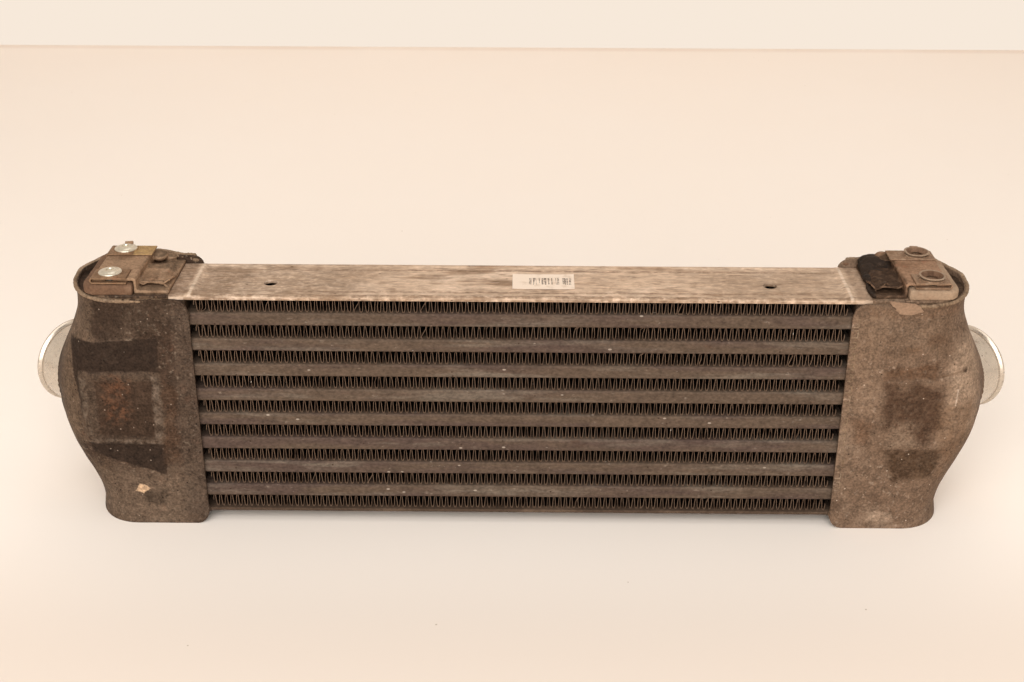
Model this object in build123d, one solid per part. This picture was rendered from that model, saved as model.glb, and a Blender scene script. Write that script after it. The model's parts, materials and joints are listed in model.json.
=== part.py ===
from build123d import *
import math
import os

# Bar-and-fin charge-air cooler: a brazed aluminium core of flat tubes and air fins
# between two pressed end tanks, each with a beaded hose spigot and a mounting bracket.
# Millimetres.  X runs along the core, -Y is the cooling-air inlet face, +Z is up.
# Sub-parts are drawn with Y = 0 at the tube noses and Z = 0 at the tank feet.

# ---------------------------------------------------------------- driving dimensions
# Core
CORE_OPENING = 458.0          # clear width between the two tank edges
TUBE_COUNT = 8
TUBE_HEIGHT = 9.8
TUBE_DEPTH = 58.0
TUBE_WALL = 0.8
TUBE_NOSE_RADIUS = 1.6
TUBE_STAND_THROUGH = 3.0      # tube end standing past the header sheet, inside the tank
AIR_FIN_HEIGHT = 9.98
AIR_FIN_SHEET = 0.3
AIR_FIN_WAVES = 44
AIR_FIN_SETBACK = 2.0         # fin edge behind the tube nose, front and back
AIR_FIN_END_GAP = 3.0         # open strip between the last wave and the tank edge
TURBULATOR_SHEET = 0.3
TURBULATOR_WAVES = 7
BRAZE_GAP = 0.05              # crest of a fin to the wall it is brazed to

# Side plates
PLATE_THICKNESS = 3.0
PLATE_OVERHANG = 0.5          # lip past the tube nose, front and back
PLATE_LIP_RADIUS = 1.3
PLATE_LIP_WIDTH = 5.2         # raised lip, front and back
PLATE_SUNK = 0.6              # panel between the lips, below them
PLATE_PAST_EDGE = 13.5        # plate end past the tank edge
BEAD_FROM_EDGE = 0.6          # crown of the cross bead, inboard of the tank edge
BEAD_RADIUS = 1.5
JIG_HOLE_RADIUS = 4.8
JIG_HOLE_FROM_CENTRE = 175.4
JIG_HOLE_FROM_MIDDLE = -4.4   # ahead of the plate's middle line

# Headers
HEADER_SHEET = 2.0
HEADER_INSET = 2.0            # header face behind the tank edge
HEADER_RIM = 10.0             # turned rim, into the tank
HEADER_RIM_WALL = 1.5
TUBE_SLOT_GAP = 0.1

# Tanks
TANK_WALL = 2.0
TANK_PROUD = 4.0              # tank face ahead of the tube noses, and behind them
TANK_REACH = 86.5             # tank edge to the far wall, at top and bottom
TANK_BACK_SWELL = 6.0         # back wall behind the flange that holds the header
TANK_FLANGE_RUN = 16.0        # length of that flange
TANK_FLANGE_SLOPE = 16.0      # run of the slope from the flange to the back wall
TANK_CHAMFER_DEEP = 26.6      # chamfer between far and back walls, along the far wall
TANK_CHAMFER_LONG = 19.6      # and along the back wall
TANK_FRONT_RADIUS = 33.0
TANK_BACK_RADIUS = 14.0
TANK_FOOT_DROP = 8.9          # tank foot below the bottom side plate
TANK_CORNER_RADIUS = 10.0     # rounded corners beside the core
RIM_FRONT_DROP = 2.1          # front of the top rim, below the side plate
RIM_BACK_RISE = 6.0           # back of the top rim, above the side plate
BULGE_FOOT = 22.0             # height where the swelling for the spigot starts
BULGE_LOW = 92.0              # full from here
BULGE_HIGH = 110.0            # to here
BULGE_HEAD = 176.0            # and gone again here
BULGE_FRONT_SWELL = 24.0      # how far the front corner moves outwards there
LOFT_STEPS = 4                # sections on each flank of the swelling
EMBOSS_WIDTH = 60.0
EMBOSS_HEIGHT = 58.0
EMBOSS_RISE = 0.8
EMBOSS_CORNER = 7.0
EMBOSS_FROM_EDGE = 24.0
CAP_THICKNESS = 3.0
WELD_GAP = 0.2

# Hose spigots
SPIGOT_RADIUS = 30.0
SPIGOT_WALL = 2.0
SPIGOT_AZIMUTH = 52.0         # from straight back, turned outwards
SPIGOT_HEIGHT = 95.5          # axis above the feet
SPIGOT_STAND_OUT = 26.0       # mouth past the tank's seat face
SPIGOT_INSIDE = 12.0          # tube inside the tank, behind that face
SPIGOT_MOUTH_OUT = 114.0      # mouth centre past the tank edge, along X
SPIGOT_MOUTH_BACK = 20.5      # mouth centre behind the tubes' back noses
SEAT_MARGIN = 1.5             # seat face past the tube, each side
HOSE_BEAD_RISE = 1.9
HOSE_BEAD_WIDTH = 4.4
HOSE_BEAD_FROM_MOUTH = 0.6

# Mounting brackets
BRACKET_SHEET = 2.0
BRACKET_FRONT = 2.0           # front edge behind the tube noses
BRACKET_PAST_BACK = 1.2       # back edge behind the tubes' back noses
BRACKET_BASE_INNER = 13.5     # inner edge of the foot, past the tank edge
BRACKET_RISER = 35.0          # riser, past the tank edge
BRACKET_TOP_OUTER = 65.0      # outer edge of the top plate, past the tank edge
BRACKET_HEIGHT = 11.7         # top plate above the side plate
TONGUE_HEIGHT = 6.4
TONGUE_SHEET = 1.5
TONGUE_FLAT = 16.0
TONGUE_FRONT = 10.0           # behind the front tube noses
TONGUE_FROM_BACK = 16.0       # ahead of the back tube noses
STOP_TAB_WIDTH = 6.0
STOP_TAB_RISE = 4.0
SADDLE_SHEET = 2.0
SADDLE_OUTER = 73.0           # outer end of the saddle, past the tank edge
SADDLE_HEIGHT = 8.2
SADDLE_CORNER_RADIUS = 9.0
SADDLE_EDGE_RADIUS = 3.0
SADDLE_GAP = 0.5              # saddle to the bracket's riser
SADDLE_AHEAD = 3.2            # saddle's front ahead of the bracket's front edge

# Spring clip nuts and their screws
CLIP_SHEET = 1.2
CLIP_GRIP_GAP = 0.1
CLIP_WIDTH = 17.0
CLIP_SPACING = 43.0
CLIP_FROM_EDGE = 53.5         # clip axis past the tank edge
CLIP_FRONT_TAIL = 12.5        # front clip's leaf, inboard of its axis
CLIP_BACK_TAIL = 20.5
CLIP_LOWER_TAIL = 12.5        # lower leaf of both clips
CLIP_COLLAR_RADIUS = 8.5
CLIP_COLLAR_RISE = 1.0
CLIP_MOUTH_RADIUS = 5.6
CLIP_THREAD_RADIUS = 4.1
CLIP_BARREL_RADIUS = 5.4
CLIP_BARREL_LENGTH = 4.5
SCREW_SHANK_RADIUS = 3.9
SCREW_HEAD_RADIUS = 8.0
SCREW_HEAD_RISE = 2.2
SCREW_FLANGE = 0.7            # plain edge under the dome
SCREW_LENGTH = 12.0
HOLE_CLEARANCE = 1.0          # barrel to its hole in the saddle

# Label
LABEL_WIDTH = 43.5
LABEL_DEPTH = 26.0
LABEL_THICKNESS = 0.3
LABEL_FROM_CENTRE = 16.4

# ------------------------------------------------------------------- worked-out places
EDGE = CORE_OPENING / 2                       # |X| of both tank edges
TUBE_PITCH = TUBE_HEIGHT + AIR_FIN_HEIGHT
PLATE_LOW = TANK_FOOT_DROP                    # underside of the bottom side plate
STACK_LOW = PLATE_LOW + PLATE_THICKNESS
STACK_HIGH = STACK_LOW + TUBE_COUNT * TUBE_PITCH + AIR_FIN_HEIGHT
PLATE_HIGH = STACK_HIGH + PLATE_THICKNESS     # top of the top side plate
MID_DEPTH = TUBE_DEPTH / 2
BRACKET_BACK = TUBE_DEPTH + BRACKET_PAST_BACK
TONGUE_BACK = TUBE_DEPTH - TONGUE_FROM_BACK
HEADER_FACE = EDGE + HEADER_INSET
PLATE_END = EDGE + PLATE_PAST_EDGE
FRONT_FACE = -TANK_PROUD
FLANGE_FACE = TUBE_DEPTH + TANK_PROUD
BACK_FACE = FLANGE_FACE + TANK_BACK_SWELL
RIM_TOP = PLATE_HIGH + RIM_BACK_RISE
CLIP_AXIS = EDGE + CLIP_FROM_EDGE
CLIP_ROWS = (MID_DEPTH - CLIP_SPACING / 2, MID_DEPTH + CLIP_SPACING / 2)
CLIP_TAILS = (CLIP_FRONT_TAIL, CLIP_BACK_TAIL)
BRACKET_TOP = PLATE_HIGH + BRACKET_HEIGHT
CLIP_TOP = BRACKET_TOP + CLIP_GRIP_GAP + CLIP_SHEET
CLIP_LOW = BRACKET_TOP - BRACKET_SHEET - CLIP_GRIP_GAP - CLIP_SHEET
SEAT_HALF = SPIGOT_RADIUS + SEAT_MARGIN

# Unit directions of the right-hand spigot, seen from above
OUT_X = math.sin(math.radians(SPIGOT_AZIMUTH))
OUT_Y = math.cos(math.radians(SPIGOT_AZIMUTH))
MOUTH = (EDGE + SPIGOT_MOUTH_OUT, TUBE_DEPTH + SPIGOT_MOUTH_BACK)
SEAT = (MOUTH[0] - OUT_X * SPIGOT_STAND_OUT, MOUTH[1] - OUT_Y * SPIGOT_STAND_OUT)


def block(x_low, x_high, y_low, y_high, z_low, z_high):
    """Box between six named planes."""
    size = (x_high - x_low, y_high - y_low, z_high - z_low)
    return Pos(x_low, y_low, z_low) * Box(*size, align=Align.MIN)


def disc(radius, x, y, z_low, z_high):
    """Upright cylinder between two heights."""
    body = Cylinder(radius, z_high - z_low, align=(Align.CENTER, Align.CENTER, Align.MIN))
    return Pos(x, y, z_low) * body


def corrugated_sheet(waves, run, height, sheet, depth):
    """Zigzag strip along +X, crests at 0 and height, extruded by depth along +Y."""
    half = run / waves / 2
    rise = sheet * math.hypot(half, height) / half
    low_line = [(step * half, (step % 2) * (height - rise)) for step in range(2 * waves + 1)]
    high_line = [(x, z + rise) for x, z in low_line]
    section = make_face(Polyline(*low_line, *reversed(high_line), close=True))
    return extrude(Plane.XZ * section, -depth)


# ------------------------------------------------------------------------------- core
def charge_tube(row):
    """One flat charge-air tube, open at both ends, row 0 at the bottom."""
    low = STACK_LOW + AIR_FIN_HEIGHT + row * TUBE_PITCH
    half = HEADER_FACE + HEADER_SHEET + TUBE_STAND_THROUGH
    outer = RectangleRounded(TUBE_DEPTH, TUBE_HEIGHT, TUBE_NOSE_RADIUS)
    bore_size = (TUBE_DEPTH - 2 * TUBE_WALL, TUBE_HEIGHT - 2 * TUBE_WALL)
    bore = RectangleRounded(*bore_size, TUBE_NOSE_RADIUS - TUBE_WALL)
    section = Plane.YZ.offset(-half) * Pos(MID_DEPTH, low + TUBE_HEIGHT / 2) * (outer - bore)
    return extrude(section, 2 * half)


def turbulator(row):
    """Corrugated strip inside one tube, its waves across the tube's depth."""
    low = STACK_LOW + AIR_FIN_HEIGHT + row * TUBE_PITCH + TUBE_WALL + BRAZE_GAP
    height = TUBE_HEIGHT - 2 * (TUBE_WALL + BRAZE_GAP)
    run = TUBE_DEPTH - 2 * (TUBE_NOSE_RADIUS + TUBE_WALL)
    length = 2 * (HEADER_FACE + HEADER_SHEET)
    strip = corrugated_sheet(TURBULATOR_WAVES, run, height, TURBULATOR_SHEET, length)
    return Pos(length / 2, MID_DEPTH - run / 2, low) * Rot(Z=90) * strip


def air_fin(row):
    """One corrugated air fin, between two tubes or a tube and a side plate."""
    low = STACK_LOW + row * TUBE_PITCH + BRAZE_GAP
    run = CORE_OPENING - 2 * AIR_FIN_END_GAP
    depth = TUBE_DEPTH - 2 * AIR_FIN_SETBACK
    height = AIR_FIN_HEIGHT - 2 * BRAZE_GAP
    strip = corrugated_sheet(AIR_FIN_WAVES, run, height, AIR_FIN_SHEET, depth)
    return Pos(-run / 2, AIR_FIN_SETBACK, low) * strip


def side_plate_top():
    """Top side plate: rolled lips, sunk panel, a cross bead at each tank, two jig holes."""
    y_low = -PLATE_OVERHANG
    y_high = TUBE_DEPTH + PLATE_OVERHANG
    plate = block(-PLATE_END, PLATE_END, y_low, y_high, STACK_HIGH, PLATE_HIGH)
    lips = plate.edges().filter_by(Axis.X).group_by(Axis.Z)[-1]
    plate = fillet(lips, PLATE_LIP_RADIUS)
    panel_end = EDGE - BEAD_FROM_EDGE
    plate -= block(-panel_end, panel_end, y_low + PLATE_LIP_WIDTH, y_high - PLATE_LIP_WIDTH,
                   PLATE_HIGH - PLATE_SUNK, PLATE_HIGH + 1)
    rib_length = y_high - y_low - 2 * PLATE_LIP_RADIUS
    rib = Rot(X=90) * Cylinder(BEAD_RADIUS, rib_length)
    rib_drop = BEAD_RADIUS / 3
    for side in (-1, 1):
        x_rib = side * (EDGE - BEAD_FROM_EDGE)
        plate += Pos(x_rib, MID_DEPTH, PLATE_HIGH - rib_drop) * rib
        x_hole = side * JIG_HOLE_FROM_CENTRE
        y_hole = MID_DEPTH + JIG_HOLE_FROM_MIDDLE
        plate -= disc(JIG_HOLE_RADIUS, x_hole, y_hole, STACK_HIGH - 1, PLATE_HIGH + 1)
    return plate


def side_plate_bottom():
    """Bottom side plate, the same pressing turned over."""
    return mirror(side_plate_top(), Plane.XY.offset((PLATE_LOW + PLATE_HIGH) / 2))


def header_right():
    """Slotted header tray: the tubes enter it, its turned rim sits inside the tank."""
    y_low = FRONT_FACE + TANK_WALL + WELD_GAP
    y_high = FLANGE_FACE - TANK_WALL - WELD_GAP
    z_low = STACK_LOW + WELD_GAP
    z_high = STACK_HIGH - WELD_GAP
    tray = block(HEADER_FACE, HEADER_FACE + HEADER_RIM, y_low, y_high, z_low, z_high)
    wall = HEADER_RIM_WALL
    floor = HEADER_FACE + HEADER_SHEET
    tray -= block(floor, HEADER_FACE + HEADER_RIM + 1,
                  y_low + wall, y_high - wall, z_low + wall, z_high - wall)
    slot_size = (TUBE_DEPTH + 2 * TUBE_SLOT_GAP, TUBE_HEIGHT + 2 * TUBE_SLOT_GAP)
    slot = RectangleRounded(*slot_size, TUBE_NOSE_RADIUS + TUBE_SLOT_GAP)
    for row in range(TUBE_COUNT):
        z_mid = STACK_LOW + AIR_FIN_HEIGHT + row * TUBE_PITCH + TUBE_HEIGHT / 2
        place = Plane.YZ.offset(HEADER_FACE - 1) * Pos(MID_DEPTH, z_mid)
        tray -= extrude(place * slot, HEADER_SHEET + 2)
    return tray


# ------------------------------------------------------------------------------ tanks
def swell(height):
    """Share of the spigot's swelling at a height, from 0 to 1, with smooth ends."""
    rising = (height - BULGE_FOOT) / (BULGE_LOW - BULGE_FOOT)
    falling = (BULGE_HEAD - height) / (BULGE_HEAD - BULGE_HIGH)
    part = max(0.0, min(1.0, rising, falling))
    return part * part * (3 - 2 * part)


def tank_corners(share):
    """Corners of the right tank's outline from above, anticlockwise, with their radii."""
    far = EDGE + TANK_REACH
    slope_end = EDGE + TANK_FLANGE_RUN + TANK_FLANGE_SLOPE
    front_seat = (SEAT[0] + OUT_Y * SEAT_HALF, SEAT[1] - OUT_X * SEAT_HALF)
    back_seat = (SEAT[0] - OUT_Y * SEAT_HALF, SEAT[1] + OUT_X * SEAT_HALF)
    plain = [
        (far, FRONT_FACE),
        (far, BACK_FACE - TANK_CHAMFER_DEEP),
        (far - TANK_CHAMFER_LONG, BACK_FACE),
        (slope_end, BACK_FACE),
    ]
    swollen = [
        (far + BULGE_FRONT_SWELL, FRONT_FACE),
        front_seat,
        back_seat,
        (slope_end, BACK_FACE + TANK_BACK_SWELL),
    ]
    moved = []
    for start, end in zip(plain, swollen):
        moved.append((start[0] + share * (end[0] - start[0]),
                      start[1] + share * (end[1] - start[1])))
    corners = [(EDGE, FRONT_FACE), *moved, (EDGE + TANK_FLANGE_RUN, FLANGE_FACE),
               (EDGE, FLANGE_FACE)]
    radii = [0.0, TANK_FRONT_RADIUS, TANK_BACK_RADIUS, TANK_BACK_RADIUS,
             TANK_BACK_RADIUS, TANK_BACK_RADIUS, 0.0]
    return corners, radii


def inset_corners(corners, distance):
    """Corners of an anticlockwise outline moved inwards by the same distance all round."""
    moved = []
    for index, corner in enumerate(corners):
        before = Vector(*corner) - Vector(*corners[index - 1])
        after = Vector(*corners[(index + 1) % len(corners)]) - Vector(*corner)
        before = before.normalized()
        after = after.normalized()
        normal_before = Vector(-before.Y, before.X)
        normal_after = Vector(-after.Y, after.X)
        bisector = normal_before + normal_after
        scale = distance * 2 / bisector.dot(bisector)
        moved.append((corner[0] + bisector.X * scale, corner[1] + bisector.Y * scale))
    return moved


def turned_left(corners, index):
    """True where an anticlockwise outline turns outwards at a corner."""
    x_before, y_before = corners[index - 1]
    x_here, y_here = corners[index]
    x_after, y_after = corners[(index + 1) % len(corners)]
    cross = ((x_here - x_before) * (y_after - y_here)
             - (y_here - y_before) * (x_after - x_here))
    return cross > 0


def tank_section(height, inset, overrun):
    """Face of the tank's outline at a height, moved in by inset, open side overrun."""
    corners, radii = tank_corners(swell(height))
    changed = []
    for index, radius in enumerate(radii):
        bend = -inset if turned_left(corners, index) else inset
        changed.append(max(0.0, radius + bend) if radius > 0 else 0.0)
    moved = inset_corners(corners, inset)
    edge_x = EDGE - overrun
    moved[0] = (edge_x, moved[0][1])
    moved[-1] = (edge_x, moved[-1][1])
    outline = FilletPolyline(*moved, radius=changed, close=True)
    return Pos(0, 0, height) * make_face(outline)


def tank_body(inset, overrun, low, high):
    """Solid inside the tank's outline: straight foot, lofted swelling, straight head."""
    heights = []
    for start, end in ((BULGE_FOOT, BULGE_LOW), (BULGE_HIGH, BULGE_HEAD)):
        for step in range(LOFT_STEPS + 1):
            heights.append(start + step * (end - start) / LOFT_STEPS)
    sections = [tank_section(height, inset, overrun) for height in heights]
    foot = extrude(sections[0], low - BULGE_FOOT)
    head = extrude(sections[-1], high - BULGE_HEAD)
    return foot + loft(sections) + head


def corner_cutter(z_edge, down, y_low, y_high):
    """Piece that rounds a tank corner beside the core, at its top or bottom edge."""
    radius = TANK_CORNER_RADIUS
    z_mid = z_edge - radius if down else z_edge + radius
    z_low = z_mid if down else z_edge - 1
    z_high = z_edge + 1 if down else z_mid
    corner = block(EDGE - 1, EDGE + radius, y_low, y_high, z_low, z_high)
    round_bar = Rot(X=90) * Cylinder(radius, (y_high - y_low) + 2)
    return corner - Pos(EDGE + radius, (y_low + y_high) / 2, z_mid) * round_bar


def along_spigot(solid):
    """Set a solid drawn along +Z from its origin onto the right spigot's seat."""
    return Pos(SEAT[0], SEAT[1], SPIGOT_HEIGHT) * Rot(Z=90 - SPIGOT_AZIMUTH) * Rot(Y=90) * solid


def rim_height(y):
    """Height of the tank's sloping top rim at a depth."""
    slope = (RIM_BACK_RISE + RIM_FRONT_DROP) / (BACK_FACE - FRONT_FACE)
    return PLATE_HIGH - RIM_FRONT_DROP + slope * (y - FRONT_FACE)


def tank_right():
    """Pressed end tank: a D-shaped sheet wrapped round the header, swollen for the spigot."""
    above = RIM_TOP + 10
    shell = tank_body(0, 0, 0, above)
    shell -= tank_body(TANK_WALL, 10, -5, above + 5)
    y_far = BACK_FACE + 40
    slope_cut = Plane.YZ.offset(EDGE - 20) * make_face(Polyline(
        (FRONT_FACE - 10, rim_height(FRONT_FACE - 10)), (y_far, rim_height(y_far)),
        (y_far, above + 40), (FRONT_FACE - 10, above + 40), close=True))
    shell -= extrude(slope_cut, TANK_REACH + 80)
    half = MID_DEPTH
    shell -= corner_cutter(rim_height(FRONT_FACE), True, FRONT_FACE - 5, half)
    shell -= corner_cutter(rim_height(FLANGE_FACE), True, half, FLANGE_FACE + 5)
    shell -= corner_cutter(0, False, FRONT_FACE - 5, FLANGE_FACE + 5)
    emboss = RectangleRounded(EMBOSS_WIDTH, EMBOSS_HEIGHT, EMBOSS_CORNER)
    x_emboss = EDGE + EMBOSS_FROM_EDGE + EMBOSS_WIDTH / 2
    pad = extrude(Plane.XZ * Pos(x_emboss, SPIGOT_HEIGHT) * emboss, EMBOSS_RISE)
    shell += Pos(0, FRONT_FACE, 0) * pad
    hole = Cylinder(SPIGOT_RADIUS + WELD_GAP, 4 * SPIGOT_STAND_OUT)
    return shell - along_spigot(hole)


def cap_right(low):
    """Flat end plate welded inside the tank walls, level with a side plate."""
    outline = tank_section(0, TANK_WALL + WELD_GAP, 0)
    plate = extrude(Pos(0, 0, low) * outline, CAP_THICKNESS)
    x_cut = PLATE_END + WELD_GAP
    return plate - block(EDGE - 20, x_cut, FRONT_FACE - 5, BACK_FACE + 5, low - 1, low + 10)


def spigot_right():
    """Hose spigot: round tube through the tank's seat face with a bead near its mouth."""
    bead_mid = SPIGOT_STAND_OUT - HOSE_BEAD_FROM_MOUTH - HOSE_BEAD_WIDTH / 2
    bead_low = (SPIGOT_RADIUS, bead_mid - HOSE_BEAD_WIDTH / 2)
    bead_high = (SPIGOT_RADIUS, bead_mid + HOSE_BEAD_WIDTH / 2)
    crown = (SPIGOT_RADIUS + HOSE_BEAD_RISE, bead_mid)
    bore = SPIGOT_RADIUS - SPIGOT_WALL
    outline = Polyline((SPIGOT_RADIUS, -SPIGOT_INSIDE), bead_low)
    outline += ThreePointArc(bead_low, crown, bead_high)
    outline += Polyline(bead_high, (SPIGOT_RADIUS, SPIGOT_STAND_OUT),
                        (bore, SPIGOT_STAND_OUT), (bore, -SPIGOT_INSIDE),
                        (SPIGOT_RADIUS, -SPIGOT_INSIDE))
    return along_spigot(revolve(Plane.XZ * make_face(outline), Axis.Z))


# --------------------------------------------------------------------------- brackets
def bracket_right():
    """Folded bracket: foot on the tank cap, riser, top plate for the clips, low tongue."""
    foot_x = EDGE + BRACKET_BASE_INNER
    riser_x = EDGE + BRACKET_RISER
    outer_x = EDGE + BRACKET_TOP_OUTER
    sheet = BRACKET_SHEET
    fold = Plane.XZ * make_face(Polyline(
        (foot_x, PLATE_HIGH), (riser_x + sheet, PLATE_HIGH),
        (riser_x + sheet, BRACKET_TOP - sheet), (outer_x, BRACKET_TOP - sheet),
        (outer_x, BRACKET_TOP), (riser_x, BRACKET_TOP),
        (riser_x, PLATE_HIGH + sheet), (foot_x, PLATE_HIGH + sheet), close=True))
    body = Pos(0, BRACKET_FRONT, 0) * extrude(fold, -(BRACKET_BACK - BRACKET_FRONT))
    bends = [edge for edge in body.edges().filter_by(Axis.Y)
             if abs(edge.center().X - riser_x) < sheet + 1]
    top_bend = sorted(bends, key=lambda edge: edge.center().Z)[-1]
    body = fillet(top_bend, sheet)
    tongue_top = PLATE_HIGH + TONGUE_HEIGHT
    tongue = Plane.XZ * make_face(Polyline(
        (riser_x, tongue_top), (riser_x - TONGUE_FLAT, tongue_top),
        (foot_x + 1, PLATE_HIGH + sheet), (foot_x + 1 + TONGUE_SHEET, PLATE_HIGH + sheet),
        (riser_x - TONGUE_FLAT + 1, tongue_top - TONGUE_SHEET),
        (riser_x, tongue_top - TONGUE_SHEET), close=True))
    body += Pos(0, TONGUE_FRONT, 0) * extrude(tongue, -(TONGUE_BACK - TONGUE_FRONT))
    body += block(CLIP_AXIS - STOP_TAB_WIDTH / 2, CLIP_AXIS + STOP_TAB_WIDTH / 2,
                  BRACKET_BACK, BRACKET_BACK + sheet,
                  BRACKET_TOP - sheet, BRACKET_TOP + STOP_TAB_RISE)
    for y in CLIP_ROWS:
        body -= disc(CLIP_MOUTH_RADIUS, CLIP_AXIS, y, BRACKET_TOP - sheet - 1, BRACKET_TOP + 1)
    return body


def saddle_right():
    """Pressed saddle under the bracket's top plate, rounded at its outer end."""
    low_x = EDGE + BRACKET_RISER + BRACKET_SHEET + SADDLE_GAP
    high_x = EDGE + SADDLE_OUTER
    top = PLATE_HIGH + SADDLE_HEIGHT
    y_low = BRACKET_FRONT - SADDLE_AHEAD
    y_high = BRACKET_BACK
    body = block(low_x, high_x, y_low, y_high, PLATE_HIGH, top)
    body = fillet(upright_edge(body, high_x), SADDLE_CORNER_RADIUS)
    body = fillet(body.faces().sort_by(Axis.Z)[-1].edges(), SADDLE_EDGE_RADIUS)
    sheet = SADDLE_SHEET
    hollow = block(low_x + sheet, high_x - sheet, y_low + sheet, y_high - sheet,
                   PLATE_HIGH - 1, top - sheet)
    hollow = fillet(upright_edge(hollow, high_x - sheet), SADDLE_CORNER_RADIUS - sheet)
    body -= hollow
    for y in CLIP_ROWS:
        hole = CLIP_BARREL_RADIUS + HOLE_CLEARANCE
        body -= disc(hole, CLIP_AXIS, y, top - sheet - 1, top + 1)
    return body


def upright_edge(solid, x):
    """Both upright edges of a block's outer end."""
    return [edge for edge in solid.edges().filter_by(Axis.Z) if abs(edge.center().X - x) < 0.1]


def clip_right(y, tail):
    """Spring clip nut: a U of sheet over the bracket edge, collar above, barrel below."""
    x_fold = EDGE + BRACKET_TOP_OUTER + CLIP_GRIP_GAP
    x_low = CLIP_AXIS - tail
    y_low = y - CLIP_WIDTH / 2
    y_high = y + CLIP_WIDTH / 2
    body = block(x_low, x_fold + CLIP_SHEET, y_low, y_high, CLIP_LOW, CLIP_TOP)
    fold_edges = body.edges().filter_by(Axis.Y).group_by(Axis.X)[-1]
    body = fillet(fold_edges, (CLIP_TOP - CLIP_LOW) / 2 - 0.1)
    body -= block(x_low - 1, x_fold, y_low - 1, y_high + 1,
                  CLIP_LOW + CLIP_SHEET, CLIP_TOP - CLIP_SHEET)
    body -= block(x_low - 1, CLIP_AXIS - CLIP_LOWER_TAIL, y_low - 1, y_high + 1,
                  CLIP_LOW - 1, CLIP_LOW + CLIP_SHEET + CLIP_GRIP_GAP)
    body += disc(CLIP_COLLAR_RADIUS, CLIP_AXIS, y, CLIP_TOP, CLIP_TOP + CLIP_COLLAR_RISE)
    body += disc(CLIP_BARREL_RADIUS, CLIP_AXIS, y, CLIP_LOW - CLIP_BARREL_LENGTH, CLIP_LOW)
    body -= disc(CLIP_MOUTH_RADIUS, CLIP_AXIS, y, CLIP_TOP - CLIP_SHEET - 0.5, CLIP_TOP + 3)
    return body - disc(CLIP_THREAD_RADIUS, CLIP_AXIS, y, CLIP_LOW - 10, CLIP_LOW + 3)


def screw_right(y):
    """Flange-head screw left in a clip: shallow domed head on a plain shank."""
    seat = CLIP_TOP + CLIP_COLLAR_RISE
    dome_rise = SCREW_HEAD_RISE - SCREW_FLANGE
    dome_radius = (SCREW_HEAD_RADIUS ** 2 + dome_rise ** 2) / (2 * dome_rise)
    dome = Pos(CLIP_AXIS, y, seat + SCREW_HEAD_RISE - dome_radius) * Sphere(dome_radius)
    head = disc(SCREW_HEAD_RADIUS, CLIP_AXIS, y, seat, seat + SCREW_HEAD_RISE) & dome
    return head + disc(SCREW_SHANK_RADIUS, CLIP_AXIS, y, seat - SCREW_LENGTH, seat)


def label():
    """Bare label stuck on the top side plate's panel."""
    size = (LABEL_WIDTH, LABEL_DEPTH, LABEL_THICKNESS)
    sheet = Box(*size, align=(Align.CENTER, Align.CENTER, Align.MIN))
    return Pos(LABEL_FROM_CENTRE, MID_DEPTH, PLATE_HIGH - PLATE_SUNK) * sheet


# --------------------------------------------------------------------------- assembly
def make_parts():
    """Every sub-part by its node name, in the drawing frame."""
    parts = {}
    for row in range(TUBE_COUNT):
        parts[f"charge_tube_{row + 1}"] = charge_tube(row)
        parts[f"turbulator_{row + 1}"] = turbulator(row)
    for row in range(TUBE_COUNT + 1):
        parts[f"air_fin_{row + 1}"] = air_fin(row)
    parts["side_plate_top"] = side_plate_top()
    parts["side_plate_bottom"] = side_plate_bottom()
    parts["label"] = label()
    right = {
        "header": header_right(),
        "tank": tank_right(),
        "tank_cap_top": cap_right(STACK_HIGH),
        "tank_cap_bottom": cap_right(PLATE_LOW),
        "spigot": spigot_right(),
        "bracket": bracket_right(),
        "saddle": saddle_right(),
        "clip_nut_front": clip_right(CLIP_ROWS[0], CLIP_TAILS[0]),
        "clip_nut_back": clip_right(CLIP_ROWS[1], CLIP_TAILS[1]),
    }
    for name, solid in right.items():
        parts[f"{name}_right"] = solid
        parts[f"{name}_left"] = mirror(solid, Plane.YZ)
    parts["screw_front_left"] = mirror(screw_right(CLIP_ROWS[0]), Plane.YZ)
    parts["screw_back_left"] = mirror(screw_right(CLIP_ROWS[1]), Plane.YZ)
    return parts


def middle_of_depth(parts):
    """Half-way plane between the foremost and the rearmost point of the whole part."""
    boxes = [solid.bounding_box(optimal=True) for solid in parts.values()]
    return (min(box.min.Y for box in boxes) + max(box.max.Y for box in boxes)) / 2


# The finished part stands on Z = 0 with its origin at the middle of its footprint.
os.makedirs("parts", exist_ok=True)
assembly = make_parts()
shift = Pos(0, -middle_of_depth(assembly), 0)
for node, solid in assembly.items():
    placed = shift * solid
    placed.label = node
    export_step(placed, f"parts/{node}.step")
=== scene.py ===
"""Looks of a bar-and-fin charge-air cooler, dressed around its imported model.

Metres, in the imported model's frame: X runs along the core, -Y is the cooling-air
inlet face and +Z is up.  Right-hand pieces are drawn first and mirrored for the left.
"""

from __future__ import annotations

import json
import logging
import math
from collections.abc import Callable
from dataclasses import dataclass
from enum import Enum

import bmesh
import bpy
from mathutils import Matrix, Vector, noise
from mathutils.bvhtree import BVHTree

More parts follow.
